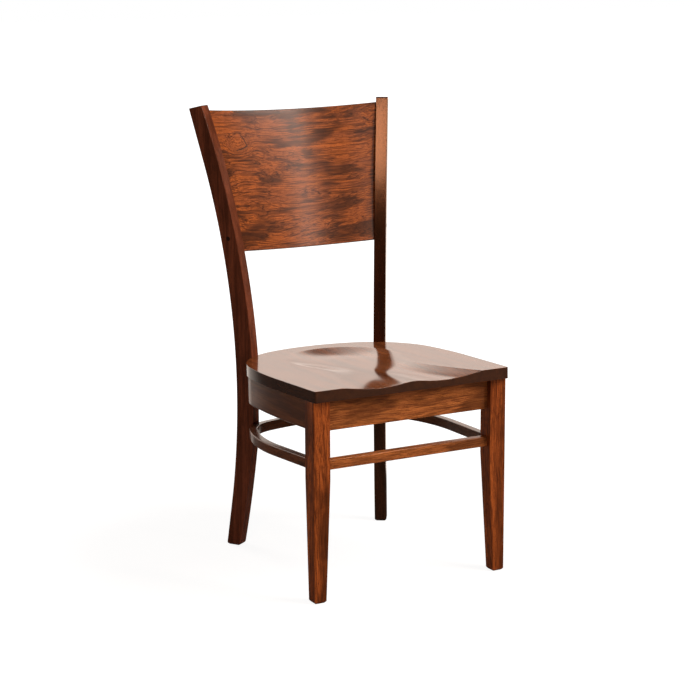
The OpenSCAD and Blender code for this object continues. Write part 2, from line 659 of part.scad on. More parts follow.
module front_apron() color(leg_wood) placed() difference() {
    cross_rail(rail_setback, apron_low, apron_t, apron_h + past);
    over_underside();
    front_apron_joints() dowel_hole(dowel_in_leg);
    corner_block_screw_places() screw_hole(past, block_screw_len);
}
module bent_apron() color(dark_wood) placed() difference() {
    sloped(apron_low) bent_bar(apron_bend, apron_t, apron_h);
    rail_trim(stretcher_low, seat_h);
    bent_apron_joints() dowel_hole(dowel_in_leg);
    bolt_places() {
        translate([0, 0, -apron_t - past]) cylinder(h = apron_t + 2 * past, d = bolt_d + 2 * hole_fit, $fn = fine_fn);
        translate([0, 0, -bolt_grip - 2 * apron_t]) cylinder(h = 2 * apron_t, d = washer_d + 2 * washer_room, $fn = fine_fn);
    }
    corner_block_screw_places() screw_hole(past, block_screw_len);
    rear_seat_screw_places() screw_hole(apron_h);
}
module front_stretcher() color(leg_wood) placed() difference() {
    cross_rail(rail_setback, stretcher_low, stretcher_t, stretcher_h);
    front_stretcher_joints() dowel_hole(low_dowel_in_leg);
}
module hoop_stretcher() color(dark_wood) placed() difference() {
    sloped(stretcher_low) bent_bar(hoop_bend, hoop_t, stretcher_h);
    rail_trim(leg_taper_h / 2, apron_low);
    hoop_joints() dowel_hole(low_dowel_in_leg);
    hoop_screw_places() screw_hole(hoop_t);
}

module panel_shell(fit)
    panel_frame() translate([0, 0, -fit]) rotate([0, 0, 90 - panel_half])
    rotate_extrude(angle = 2 * panel_half, $fn = bend_fn)
    translate([panel_r - fit, 0]) square([panel_t + 2 * fit, panel_len + 2 * fit]);

module back_panel() color(panel_wood) placed() difference() {
    intersection() {
        panel_shell(0);
        bottom_of_groove = post_mid + (groove_depth - post_t / 2) * post_side;
        near = bottom_of_groove - post_depth * post_dir;
        far = bottom_of_groove + 2 * post_span * post_dir;
        linear_extrude(post_h) polygon([near, far, [-far.x, far.y], [-near.x, near.y]]);
    }
    plug_places() translate([0, 0, plug_head]) mirror([0, 0, 1]) screw_hole(0);
}

module corner_block(way) color(block_wood) placed() side(way) difference() {
    in_y = rail_setback + apron_t;
    in_x = rail_half - apron_t;
    end = leg_t + block_leg;
    translate([0, 0, block_top - block_h]) linear_extrude(block_h)
        polygon([[leg_in_x - block_leg, in_y], [leg_in_x, in_y], [leg_in_x, leg_t], [in_x, leg_t],
                 [in_x + block_leg * block_flare, end], [in_x - block_end_w, end],
                 [leg_in_x - block_leg, in_y + block_end_w]]);
    corner_block_screw_places() screw_hole(block_leg, block_screw_len);
    front_seat_screw_places() screw_hole(block_h);
}
module corner_block_left() corner_block(-1);
module corner_block_right() corner_block(1);

module front_apron_dowels() color(dowel_wood) placed() front_apron_joints() dowel(dowel_in_leg);
module bent_apron_dowels() color(dowel_wood) placed() bent_apron_joints() dowel(dowel_in_leg);
module front_stretcher_dowels() color(dowel_wood) placed() front_stretcher_joints() dowel(low_dowel_in_leg);
module hoop_dowels() color(dowel_wood) placed() hoop_joints() dowel(low_dowel_in_leg);

module post_bolts() color(steel) placed() bolt_places() difference() {
    union() {
        translate([0, 0, -bolt_grip - washer_t - bolt_head_h]) cylinder(h = bolt_head_h, d = bolt_head_d, $fn = fine_fn);
        translate([0, 0, -bolt_grip - washer_t])
            cylinder(h = bolt_grip + washer_t + bolt_in_post - past, d = bolt_d, $fn = fine_fn);
    }
    translate([0, 0, -bolt_grip - washer_t - bolt_head_h - past])
        cylinder(h = bolt_head_h / 2 + past, d = bolt_key, $fn = 6);
}
module post_bolt_washers() color(steel) placed() bolt_places() translate([0, 0, -bolt_grip - washer_t]) difference() {
    cylinder(h = washer_t, d = washer_d, $fn = fine_fn);
    translate([0, 0, -past]) cylinder(h = washer_t + 2 * past, d = bolt_d + 2 * hole_fit, $fn = fine_fn);
}
module post_bolt_inserts() color(brass) placed() bolt_places() difference() {
    cylinder(h = bolt_in_post, d = insert_d, $fn = fine_fn);
    translate([0, 0, -past]) cylinder(h = bolt_in_post + 2 * past, d = bolt_d + 2 * hole_fit, $fn = fine_fn);
}
module hoop_screws() color(steel) placed() hoop_screw_places() wood_screw();
module panel_screws() color(steel) placed() plug_places()
    translate([0, 0, plug_head]) mirror([0, 0, 1]) wood_screw();
// The plugs are cut flush with the posts' outer faces
module panel_screw_plugs() color(dark_wood) placed() intersection() {
    plug_places() translate([0, 0, plug_head]) cylinder(h = 2 * plug_t, d = plug_d, $fn = fine_fn);
    both_sides() at_post() translate([-post_t / 2, 0, 0]) cube([post_t, post_span, post_h]);
}
module corner_block_screws() color(steel) placed() corner_block_screw_places() wood_screw(block_screw_len);
module front_seat_screws() color(steel) placed() front_seat_screw_places() wood_screw();
module rear_seat_screws() color(steel) placed() rear_seat_screw_places() wood_screw();

seat();
front_leg_left();
front_leg_right();
rear_post_left();
rear_post_right();
front_apron();
bent_apron();
front_stretcher();
hoop_stretcher();
back_panel();
corner_block_left();
corner_block_right();
front_apron_dowels();
bent_apron_dowels();
front_stretcher_dowels();
hoop_dowels();
post_bolts();
post_bolt_washers();
post_bolt_inserts();
hoop_screws();
panel_screws();
panel_screw_plugs();
corner_block_screws();
front_seat_screws();
rear_seat_screws();
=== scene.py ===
"""A stained wooden side chair, dressed for the camera.

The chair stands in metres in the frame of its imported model: +Z is up, and its
front looks towards -Y. Shown pieces are modelled here with eased edges and
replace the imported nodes, which carry the joints, holes and hidden fasteners.
"""

import logging
import math
from contextlib import contextmanager
from dataclasses import dataclass, field
from enum import Enum
from typing import Callable, Iterator, Sequence

import bmesh
import bpy
from mathutils import Matrix, Vector


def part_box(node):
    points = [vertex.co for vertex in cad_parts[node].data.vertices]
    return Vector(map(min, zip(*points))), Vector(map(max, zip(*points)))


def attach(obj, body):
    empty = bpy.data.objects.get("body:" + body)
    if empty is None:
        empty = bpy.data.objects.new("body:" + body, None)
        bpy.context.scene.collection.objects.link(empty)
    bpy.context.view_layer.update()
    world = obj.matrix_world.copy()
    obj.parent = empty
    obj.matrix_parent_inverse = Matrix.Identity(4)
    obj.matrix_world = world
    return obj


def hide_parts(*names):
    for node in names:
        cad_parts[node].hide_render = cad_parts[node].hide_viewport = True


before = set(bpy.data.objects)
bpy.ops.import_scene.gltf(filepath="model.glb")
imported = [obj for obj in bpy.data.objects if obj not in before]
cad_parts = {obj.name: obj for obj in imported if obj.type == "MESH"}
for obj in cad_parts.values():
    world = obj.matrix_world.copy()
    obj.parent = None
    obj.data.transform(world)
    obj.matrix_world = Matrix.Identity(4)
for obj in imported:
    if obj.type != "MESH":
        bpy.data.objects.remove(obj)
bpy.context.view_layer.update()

LOG = logging.getLogger("chair")
ROOT = "root"

# What each point of a wooden piece carries: its place in the board, and its share of end grain
GRAIN = "grain"
END = "end_grain"

# What all wood has in common: its stain's and lacquer's optics, its relief and its end grain
STAIN_IOR = 1.6
STAIN_TINT = (1.0, 0.45, 0.22, 1.0)
LACQUER_IOR = 1.33
RELIEF_DEPTH = 0.0004
FIBRE_ROUGHNESS = 0.14
END_ROUGHNESS = 0.4
END_SHARE = 0.85
END_COLOUR = "2d201a"
CHECK_WIDTH = 0.0017
FIBRE_RELIEF = 0.6
PORE_RELIEF = 0.8

DULL_METAL = "6f6a62"
WHITE = (1.0, 1.0, 1.0, 1.0)

# From the right side to the left one, and what counts as no distance
MIRROR = Matrix.Scale(-1, 4, (1, 0, 0))
TINY = 1e-4

Point = tuple[float, float]
Place = tuple[float, float, float]
Placing = Callable[[Vector], Vector]
Piece = bpy.types.Object
Edge = bmesh.types.BMEdge
Node = bpy.types.Node
Socket = bpy.types.NodeSocket


class Side(Enum):
    """The chair's two sides, as seen by somebody who stands in front of it."""

    LEFT = -1
    RIGHT = 1

    @property
    def label(self) -> str:
        """The side's name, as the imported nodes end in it."""
        return self.name.lower()

    def board(self, start: Place) -> Place:
        """Where in the tree this side's board begins, if the right one's begins at start."""
        return (self.value * start[0], self.value * start[1], start[2])


class Cut(Enum):
    """How a board lies in the tree, which shows in how its grain runs."""

    PLAIN = (0.075, 0.0016, 0.55)
    STRAIGHT = (0.02, 0.001, 0.2)

    def __init__(self, sway: float, ripple: float, smear: float) -> None:
        """Keep how far the grain sways and ripples, and how strong its smears are."""
        self.sway, self.ripple, self.smear = sway, ripple, smear


# Sizes that several pieces share


@dataclass(frozen=True)
class Arc:
    """An arc in plan, turning anticlockwise from start to end.

    Attributes:
        centre: the arc's centre.
        radius: its radius.
        start: the angle at which it starts.
        end: the angle at which it ends.
    """

    centre: Point
    radius: float
    start: float
    end: float

    def point(self, angle: float) -> Point:
        """The point of the arc at an angle."""
        x, y = self.centre
        return x + self.radius * math.cos(angle), y + self.radius * math.sin(angle)

    @property
    def length(self) -> float:
        """Length along the arc."""
        return self.radius * (self.end - self.start)

    def angle_of(self, x: float, y: float) -> float:
        """The angle at which a point stands from the arc's centre."""
        return math.atan2(y - self.centre[1], x - self.centre[0])


@dataclass(frozen=True)
class BendShape:
    """What sets one bent outline apart from the others.

    Attributes:
        bulge: how much wider it is at its widest place than at its front end, on each side.
        wide_y: depth of that place.
        side_radius: radius of the side.
        back_radius: radius of the back.
        back_in: how far the middle of the back lies before the seat's.
        notch: how far the corner reaches past the posts' front faces.
        steps: how many faces follow the side, corner and back arcs.
    """

    bulge: float
    wide_y: float
    side_radius: float
    back_radius: float
    back_in: float
    notch: float
    steps: tuple[int, int, int] = (16, 40, 16)


@dataclass(frozen=True)
class Bend:
    """One half of a bent outline, from the front end to the middle of the back.

    Attributes:
        straight: length of the straight run at the front.
        side: the side's arc.
        corner: the arc that passes before the rear post.
        back: the back's arc, up to the middle.
    """

    straight: float
    side: Arc
    corner: Arc
    back: Arc

    @classmethod
    def solve(cls, front: Point, shape: BendShape, back_y: float, reach: float, run: Vector,
              across: Vector) -> "Bend":
        """Find the corner arc that touches the side, the back and the post's face.

        Args:
            front: the front end of the outline.
            shape: what sets the outline apart.
            back_y: depth of the middle of the back.
            reach: how far the corner arc reaches the way the post's depth runs.
            run: the way the right post's depth runs.
            across: the way its width runs.

        Returns:
            The bend, with its arcs tangent to each other.
        """
        side_r, back_r = shape.side_radius, shape.back_radius
        side_c = Vector((front[0] + shape.bulge - side_r, shape.wide_y))
        back_c = Vector((0.0, back_y - back_r))
        # The centre is (reach - radius) * run + (p + q * radius) * across, and it lies side_r - radius from
        # the side's centre and back_r - radius from the back's: a * radius**2 + b * radius + c = 0
        between = 2 * (side_c - back_c)
        total = back_r**2 - side_r**2 + side_c.dot(side_c) - back_c.dot(back_c)
        p = (total - between.dot(run) * reach) / between.dot(across)
        q = (between.dot(run) - 2 * (back_r - side_r)) / between.dot(across)
        along, aside = side_c.dot(run), side_c.dot(across)
        a = q * q
        b = 2 * (p * q - reach + along - aside * q + side_r)
        c = reach**2 + p * p - 2 * along * reach - 2 * aside * p + side_c.dot(side_c) - side_r**2
        for way in (-1, 1):
            radius = (-b + way * math.sqrt(b * b - 4 * a * c)) / (2 * a)
            centre = (reach - radius) * run + (p + q * radius) * across
            if 0 < radius < back_r and centre.x > 0:
                break
        to_front = Vector(front) - side_c
        straight = math.sqrt(max(0.0, to_front.length_squared - side_r**2))
        start = math.atan2(to_front.y, to_front.x) + math.atan2(straight, side_r)
        side_end = math.atan2(centre.y - side_c.y, centre.x - side_c.x)
        back_start = math.atan2(centre.y - back_c.y, centre.x - back_c.x)
        return cls(straight, Arc(tuple(side_c), side_r, start, side_end),
                   Arc(tuple(centre), radius, side_end, back_start),
                   Arc(tuple(back_c), back_r, back_start, math.pi / 2))

    @property
    def arcs(self) -> tuple[Arc, Arc, Arc]:
        """The side, corner and back arcs in order."""
        return self.side, self.corner, self.back

    def run(self, x: float, y: float) -> tuple[float, float]:
        """Where a point lies along the bend.

        Args:
            x: the point's distance from the chair's middle plane.
            y: its distance behind the front legs' fronts.

        Returns:
            The length along the outer line from the start of the side arc,
            and the distance inside that line.
        """
        x = abs(x)
        number = max(i for i, arc in enumerate(self.arcs) if i == 0 or arc.angle_of(x, y) >= arc.start)
        arc = self.arcs[number]
        passed = sum(earlier.length for earlier in self.arcs[:number])
        return (passed + arc.radius * (arc.angle_of(x, y) - arc.start),
                arc.radius - math.hypot(x - arc.centre[0], y - arc.centre[1]))

    def outline(self, steps: tuple[int, int, int]) -> list[Point]:
        """Points of the right half, from the start of the side arc to the back.

        Args:
            steps: how many points the side, corner and back arcs get.

        Returns:
            The points, the last one on the middle plane.
        """
        points = [self.side.point(self.side.start)]
        for arc, count in zip(self.arcs, steps):
            points += [arc.point(arc.start + (arc.end - arc.start) * i / count) for i in range(1, count + 1)]
        return points


@dataclass(frozen=True)
class ChairSizes:
    """Sizes shared by the sub-assemblies, in metres and radians.

    Depths count backwards from the front faces of the front legs, which stand
    at front_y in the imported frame.
    """

    front_y: float
    seat_height: float = 0.457
    seat_slope: float = math.radians(1.78)
    seat_thickness: float = 0.0248
    seat_front_width: float = 0.4702
    seat_depth: float = 0.4764
    front_overhang: float = 0.0088
    side_overhang: float = 0.0008
    leg_width: float = 0.039
    rail_setback: float = 0.0128
    post_turn: float = math.radians(33.1)
    post_width: float = 0.0277
    post_in: float = 0.0749
    post_fore: float = 0.0516

    @property
    def fall(self) -> float:
        """How far the seat falls for each metre of depth."""
        return math.tan(self.seat_slope)

    @property
    def leg_half(self) -> float:
        """Distance of a front leg's outer face from the middle plane."""
        return self.seat_front_width / 2 - self.side_overhang

    @property
    def rail_half(self) -> float:
        """Distance of the bent rails' outer line from the middle plane, at the front."""
        return self.leg_half - self.rail_setback

    @property
    def under_seat(self) -> float:
        """Height of the seat's underside above the front legs' fronts."""
        return self.seat_height - self.seat_thickness

    @property
    def seat_back(self) -> float:
        """Depth of the middle of the seat's back edge."""
        return self.seat_depth - self.front_overhang

    @property
    def post_middle(self) -> Vector:
        """The middle of the right post's flat front face, in plan."""
        return Vector((self.seat_front_width / 2 - self.post_in, self.seat_back - self.post_fore))

    @property
    def post_run(self) -> Vector:
        """The way the right post's depth runs, in plan."""
        return Vector((math.sin(self.post_turn), math.cos(self.post_turn)))

    @property
    def post_across(self) -> Vector:
        """The way the right post's width runs, in plan."""
        return Vector((math.cos(self.post_turn), -math.sin(self.post_turn)))

    @property
    def post_reach(self) -> float:
        """Distance of the posts' front faces along the way their depth runs."""
        return self.post_middle.dot(self.post_run)

    def sloped(self, height: float) -> Matrix:
        """A frame that tilts with the seat, at a height above the legs' fronts."""
        return Matrix.Translation((0, self.front_y, height)) @ Matrix.Rotation(-self.seat_slope, 4, "X")

    def at_post(self) -> Matrix:
        """The right post's own frame: x across it, y into its depth, z up."""
        middle = self.post_middle
        return (Matrix.Translation((middle.x, middle.y + self.front_y, 0))
                @ Matrix.Rotation(-self.post_turn, 4, "Z"))

    def bend(self, front: Point, shape: BendShape) -> Bend:
        """The bend that starts at a front end and meets the posts."""
        return Bend.solve(front, shape, self.seat_back - shape.back_in, self.post_reach + shape.notch,
                          self.post_run, self.post_across)


# Finishes


def linear(hex_colour: str) -> tuple[float, float, float, float]:
    """Linear red, green, blue and alpha of a colour such as "8a4420"."""
    parts = [int(hex_colour[i:i + 2], 16) / 255 for i in (0, 2, 4)]
    return (*[c / 12.92 if c <= 0.04045 else ((c + 0.055) / 1.055) ** 2.4 for c in parts], 1.0)


@dataclass(frozen=True)
class Layer:
    """One layer of noise.

    Attributes:
        along: cells in a metre along the grain.
        across: cells in a metre across it.
        detail: octaves of the noise.
        weight: weight of the finer octaves.
        distortion: how much the noise bends itself.
        edges: values between which it comes in, where it is drawn.
        strength: how strong it is then.
    """

    along: float
    across: float
    detail: float = 2.0
    weight: float = 0.5
    distortion: float = 0.0
    edges: Point = (0.0, 1.0)
    strength: float = 1.0


SWAY = Layer(4.0, 7.0)
RIPPLE = Layer(26.0, 60.0, 1.5)
BANDS = Layer(2.6, 60.0, 3.0, 0.6, edges=(0.36, 0.66))
RINGS = Layer(1.1, 150.0, 1.0, 0.4, edges=(0.045, 0.0))
STREAKS = Layer(17.0, 400.0, 1.5, edges=(0.52, 0.64), strength=0.42)
FIBRES = Layer(24.0, 760.0, 2.0, 0.55, edges=(0.46, 0.6), strength=0.55)
PORES = Layer(230.0, 1900.0, edges=(0.56, 0.7), strength=0.8)
CLOUDS = Layer(9.0, 22.0, distortion=0.2, edges=(0.46, 0.7))
SMEARS = Layer(14.0, 150.0)
SCRATCHES = Layer(400.0, 400.0, 3.0, strength=0.2)
DULL_SPOTS = Layer(60.0, 60.0, strength=0.35)


class NodeSheet:
    """The nodes of a material or of the world, added and joined by short calls."""

    def __init__(self, owner: bpy.types.Material | bpy.types.World, output: str = "OutputMaterial") -> None:
        """Start with an output and nothing else.

        Args:
            owner: the material or the world.
            output: the type of its output node.
        """
        owner.use_nodes = True
        self.owner = owner
        self.tree = owner.node_tree
        self.tree.nodes.clear()
        self.output = self.add(output)

    def add(self, kind: str, values: dict[str | int, object] | None = None,
            **settings: object) -> Node:
        """Add a node.

        Args:
            kind: the node's type, without its ShaderNode prefix.
            values: values or sockets for its inputs, by name or number.
            settings: the node's own properties.

        Returns:
            The new node.
        """
        node = self.tree.nodes.new("ShaderNode" + kind)
        for key, value in settings.items():
            setattr(node, key, value)
        for key, value in (values or {}).items():
            if isinstance(value, Socket):
                self.tree.links.new(value, node.inputs[key])
            else:
                node.inputs[key].default_value = value
        return node

    def attribute(self, name: str, output: str) -> Socket:
        """One output of a node that reads an attribute of the points."""
        return self.add("Attribute", attribute_name=name, attribute_type="GEOMETRY").outputs[output]

    def math(self, operation: str, *values: object, clamp: bool = False) -> Socket:
        """Join values by one step of arithmetic and give its result."""
        return self.add("Math", dict(enumerate(values)), operation=operation, use_clamp=clamp).outputs[0]

    def vector(self, operation: str, *values: object, output: str = "Value") -> Socket:
        """Join vectors by one step and give its result."""
        return self.add("VectorMath", dict(enumerate(values)), operation=operation).outputs[output]

    def noise(self, vector: Socket, layer: Layer) -> Socket:
        """Noise of one layer.

        Args:
            vector: the coordinates.
            layer: the layer.

        Returns:
            The noise's factor, about 0.5 on average.
        """
        place = self.add("Mapping", {"Vector": vector, "Scale": (layer.along, layer.across, layer.across)})
        noise = self.add("TexNoise", {"Vector": place.outputs[0], "Scale": 1.0, "Detail": layer.detail,
                                      "Roughness": layer.weight, "Distortion": layer.distortion})
        return noise.outputs["Fac"]

    def about_zero(self, vector: Socket, layer: Layer) -> Socket:
        """Noise of one layer that swings to both sides of 0."""
        return self.math("SUBTRACT", self.noise(vector, layer), 0.5)

    def drawn(self, vector: Socket, layer: Layer) -> Socket:
        """Noise of one layer as it is drawn, from 0 to 1."""
        return self.ramp(self.noise(vector, layer), *layer.edges)

    def ramp(self, factor: Socket, low: float, high: float) -> Socket:
        """Spread a factor between two limits smoothly over 0 to 1."""
        return self.add("MapRange", {"Value": factor, "From Min": low, "From Max": high},
                        interpolation_type="SMOOTHSTEP").outputs["Result"]

    def patch(self, place: Socket, centre: Point, reach: Point) -> Socket:
        """1 at a centre, falling smoothly to 0 at a reach; both are along the board and across it."""
        local = self.add("Mapping", {"Vector": place, "Scale": (1 / reach[0], 1 / reach[1], 0),
                                     "Location": (-centre[0] / reach[0], -centre[1] / reach[1], 0)})
        return self.ramp(self.vector("LENGTH", local.outputs[0]), 1.0, 0.0)

    def stroke(self, place: Socket, start: Point, end: Point, width: float) -> Socket:
        """1 on a straight stroke between two places of the board, 0 beside it.

        Args:
            place: the places in the board.
            start: where the stroke starts.
            end: where it ends.
            width: distance from its middle line at which it has died out.

        Returns:
            The factor.
        """
        run = (end[0] - start[0], end[1] - start[1], 0.0)
        share = 1 / (run[0] ** 2 + run[1] ** 2)
        local = self.add("Mapping", {"Vector": place, "Scale": (1, 1, 0),
                                     "Location": (-start[0], -start[1], 0)}).outputs[0]
        along = self.math("MULTIPLY", self.vector("DOT_PRODUCT", local, run), share, clamp=True)
        foot = self.add("VectorMath", {0: run, "Scale": along}, operation="SCALE").outputs[0]
        return self.ramp(self.vector("DISTANCE", local, foot), width, 0.3 * width)

    def mix(self, factor: object, first: object, second: object) -> Socket:
        """Mix two colours by a factor."""
        return self.add("Mix", {0: factor, 6: first, 7: second}, data_type="RGBA").outputs[2]

    def blend(self, factor: object, first: object, second: object) -> Socket:
        """Mix two numbers by a factor."""
        return self.add("Mix", {0: factor, 2: first, 3: second}, data_type="FLOAT").outputs[0]

    def finish(self, shader: Node) -> bpy.types.Material | bpy.types.World:
        """Join a shader to the output and give the sheet's owner."""
        self.tree.links.new(shader.outputs[0], self.output.inputs["Surface"])
        return self.owner


@dataclass(frozen=True)
class Finish:
    """A finish that is drawn as one material.

    Attributes:
        name: the material's name.
        slot: the record's material slot; not used.
    """

    name: str
    slot: str

    def draw(self, sheet: NodeSheet) -> Node:
        """Draw the finish.

        Args:
            sheet: the material's empty sheet.

        Returns:
            The shader.
        """
        raise NotImplementedError(self.name)

    def material(self) -> bpy.types.Material:
        """The material, built at the first call.

        Returns:
            The material.
        """
        known = bpy.data.materials.get(self.name)
        if known is not None:
            return known
        sheet = NodeSheet(bpy.data.materials.new(self.name))
        return sheet.finish(self.draw(sheet))


@dataclass(frozen=True)
class WoodFinish(Finish):
    """Stained and lacquered wood, drawn along each piece's grain attribute.

    Attributes:
        pale: the colour of the wood between its lines.
        deep: the colour of its darker bands.
        line: the colour of pores and fine lines.
        cut: how the board lies in the tree.
        figure: strength of the rings that the face shows.
        blotch_and_shading: strength of the stain's blotches and of the painted shade and light.
        fleck: strength of streaks, fibres and pores.
        roughness: roughness of the wood under the lacquer.
        glaze: strength of the stain's own tinted shine.
        lacquer: weight of the lacquer.
        lacquer_roughness: roughness of the lacquer.
        relief: depth of the grain that is felt through the lacquer.
        knots: where the grain runs round something: a centre, a reach and a lift.
        stains_and_painted_shading: patches that are darker or, below 0, paler: where the stain went in, and
            on some pieces painted shade and painted light; a centre, a reach and a strength.
        checks: the corners of a fine crack, in order.
    """

    pale: str
    deep: str
    line: str
    cut: Cut = Cut.STRAIGHT
    figure: float = 0.35
    blotch_and_shading: float = 0.35
    fleck: float = 0.5
    roughness: float = 0.5
    glaze: float = 0.08
    lacquer: float = 1.0
    lacquer_roughness: float = 0.16
    relief: float = 0.12
    knots: tuple[tuple[Point, Point, float], ...] = ()
    stains_and_painted_shading: tuple[tuple[Point, Point, float], ...] = ()
    checks: tuple[Point, ...] = ()

    def warp(self, sheet: NodeSheet, grain: Socket) -> Socket:
        """Let the grain sway, ripple and run round the knots.

        Args:
            sheet: the material's sheet.
            grain: the places in the board.

        Returns:
            The places that the grain's lines are drawn at.
        """
        bend = sheet.math("MULTIPLY_ADD", sheet.about_zero(grain, SWAY), self.cut.sway,
                          sheet.math("MULTIPLY", sheet.about_zero(grain, RIPPLE), self.cut.ripple))
        for centre, reach, lift in self.knots:
            bend = sheet.math("MULTIPLY_ADD", sheet.patch(grain, centre, reach), lift, bend)
        offset = sheet.add("CombineXYZ", {"Y": bend, "Z": bend}).outputs[0]
        return sheet.vector("ADD", grain, offset, output="Vector")

    def stain_and_shading(self, sheet: NodeSheet, grain: Socket, warped: Socket) -> Socket:
        """Blotches that the stain leaves, drawn out along the grain, with patches of painted shade and
        painted light on some pieces.

        Args:
            sheet: the material's sheet.
            grain: the places in the board.
            warped: the places that the grain's lines are drawn at.

        Returns:
            How dark the stain and the painted shading are, from 0 to 1.
        """
        stain_and_shading = sheet.math("MULTIPLY_ADD", sheet.about_zero(warped, SMEARS), self.cut.smear,
                            sheet.noise(grain, CLOUDS))
        # Patches of stain, and on some pieces painted shade and painted light
        for centre, reach, depth in self.stains_and_painted_shading:
            stain_and_shading = sheet.math("MULTIPLY_ADD", sheet.patch(grain, centre, reach), depth, stain_and_shading)
        return sheet.ramp(stain_and_shading, *CLOUDS.edges)

    def draw(self, sheet: NodeSheet) -> Node:
        """Draw bands, then what darkens them, then cracks and end grain.

        Args:
            sheet: the material's empty sheet.

        Returns:
            The shader.
        """
        grain, end = sheet.attribute(GRAIN, "Vector"), sheet.attribute(END, "Fac")
        warped = self.warp(sheet, grain)
        fibres, pores = sheet.noise(warped, FIBRES), sheet.drawn(warped, PORES)
        rings = sheet.math("ABSOLUTE", sheet.about_zero(warped, RINGS))
        line, dark = linear(self.line), linear(END_COLOUR)
        colour = sheet.mix(sheet.drawn(warped, BANDS), linear(self.pale), linear(self.deep))
        for mark, strength in ((sheet.ramp(rings, *RINGS.edges), self.figure),
                               (sheet.drawn(warped, STREAKS), STREAKS.strength * self.fleck),
                               (self.stain_and_shading(sheet, grain, warped), self.blotch_and_shading),
                               (sheet.ramp(fibres, *FIBRES.edges), FIBRES.strength * self.fleck),
                               (pores, PORES.strength * self.fleck)):
            colour = sheet.mix(sheet.math("MULTIPLY", mark, strength, clamp=True), colour, line)
        for start, stop in zip(self.checks, self.checks[1:]):
            colour = sheet.mix(sheet.stroke(grain, start, stop, CHECK_WIDTH), colour, dark)
        colour = sheet.mix(sheet.math("MULTIPLY", end, END_SHARE), colour, dark)
        rough = sheet.math("MULTIPLY_ADD", end, END_ROUGHNESS, self.roughness - FIBRE_ROUGHNESS / 2)
        rough = sheet.math("MULTIPLY_ADD", fibres, FIBRE_ROUGHNESS, rough)
        height = sheet.math("MULTIPLY_ADD", pores, -PORE_RELIEF, sheet.math("MULTIPLY", fibres, FIBRE_RELIEF))
        bump = sheet.add("Bump", {"Height": height, "Strength": self.relief, "Distance": RELIEF_DEPTH})
        return sheet.add("BsdfPrincipled", {
            "Base Color": colour, "Roughness": rough, "Normal": bump.outputs[0], "IOR": STAIN_IOR,
            "Specular IOR Level": self.glaze, "Specular Tint": STAIN_TINT, "Coat Weight": self.lacquer,
            "Coat IOR": LACQUER_IOR, "Coat Roughness": self.lacquer_roughness})


@dataclass(frozen=True)
class MetalFinish(Finish):
    """Plain metal of screws, bolts and inserts, a little dulled.

    Attributes:
        colour: its colour.
        roughness: its roughness.
    """

    colour: str
    roughness: float = 0.35

    def draw(self, sheet: NodeSheet) -> Node:
        """Draw the metal with its dull spots and scratches.

        Args:
            sheet: the material's empty sheet.

        Returns:
            The shader.
        """
        place = sheet.add("TexCoord").outputs["Object"]
        spots = sheet.math("MULTIPLY", sheet.noise(place, DULL_SPOTS), DULL_SPOTS.strength)
        colour = sheet.mix(spots, linear(self.colour), linear(DULL_METAL))
        rough = sheet.math("MULTIPLY_ADD", sheet.about_zero(place, SCRATCHES), SCRATCHES.strength,
                           self.roughness)
        return sheet.add("BsdfPrincipled", {"Base Color": colour, "Roughness": rough, "Metallic": 1.0})


# Leg patches: the left front leg's front darker towards the foot; painted shade on the top of its side, under
# the apron; the right front leg's front paler in the middle; painted light on the foot of the left leg's
# side, as the floor throws it back.
LEG_WOOD = WoodFinish("stained_legs", "leg_wood", "b45c29", "7e3d1a", "3a1a0b", figure=0.4, blotch_and_shading=0.6,
                      fleck=1.2, lacquer=0.3,
                      stains_and_painted_shading=(((-0.24, -0.380), (0.17, 0.023), 0.28), ((0.07, -0.404), (0.08, 0.012), 0.14),
                              ((0.52, 0.385), (0.20, 0.05), -0.34), ((-0.19, -0.404), (0.12, 0.012), -0.26)))
# Rail patches, all painted shade but the fifth: along the front apron's top under the seat, at its ends
# beside the front legs, and over the front stretcher's right half; the fifth darkens the apron's lower right.
RAIL_WOOD = WoodFinish("stained_rails", "rail_wood", "be703a", "a35d31", "482613", figure=0.2, blotch_and_shading=0.65,
                       fleck=1.2, lacquer=0.35,
                       stains_and_painted_shading=(((0.20, 0.735), (0.15, 0.020), 0.2), ((0.40, 0.735), (0.15, 0.020), 0.2),
                               ((0.105, 0.70), (0.04, 0.05), 0.18), ((0.475, 0.69), (0.09, 0.05), 0.36),
                               ((0.44, 0.666), (0.09, 0.014), 0.12), ((1.22, 1.39), (0.13, 0.04), 0.22)))
BENT_WOOD = WoodFinish("stained_bends", "bent_wood", "6e3d1f", "502a16", "2b170c", figure=0.2, blotch_and_shading=0.3,
                       lacquer=0.6)
# Both posts are one wood; the right post's copy is far darker, painted shade for where it stands behind the
# seat and panel.
LEFT_POST_WOOD = WoodFinish("stained_post_left", "post_wood", "82452e", "60301e", "2b130a", figure=0.3,
                            blotch_and_shading=0.35, lacquer=0.45)
RIGHT_POST_SHADED_WOOD = WoodFinish("stained_post_right_painted_shade", "post_wood", "37170a", "250e06", "140703", figure=0.3,
                             blotch_and_shading=0.35, roughness=0.2, glaze=0.9, lacquer=0.5, relief=0.05)
SEAT_WOOD = WoodFinish("stained_seat", "seat_wood", "8c4e2a", "6b3a20", "3e2012", figure=0.25, blotch_and_shading=0.25,
                       fleck=0.5, glaze=0.0, lacquer_roughness=0.13, relief=0.02)
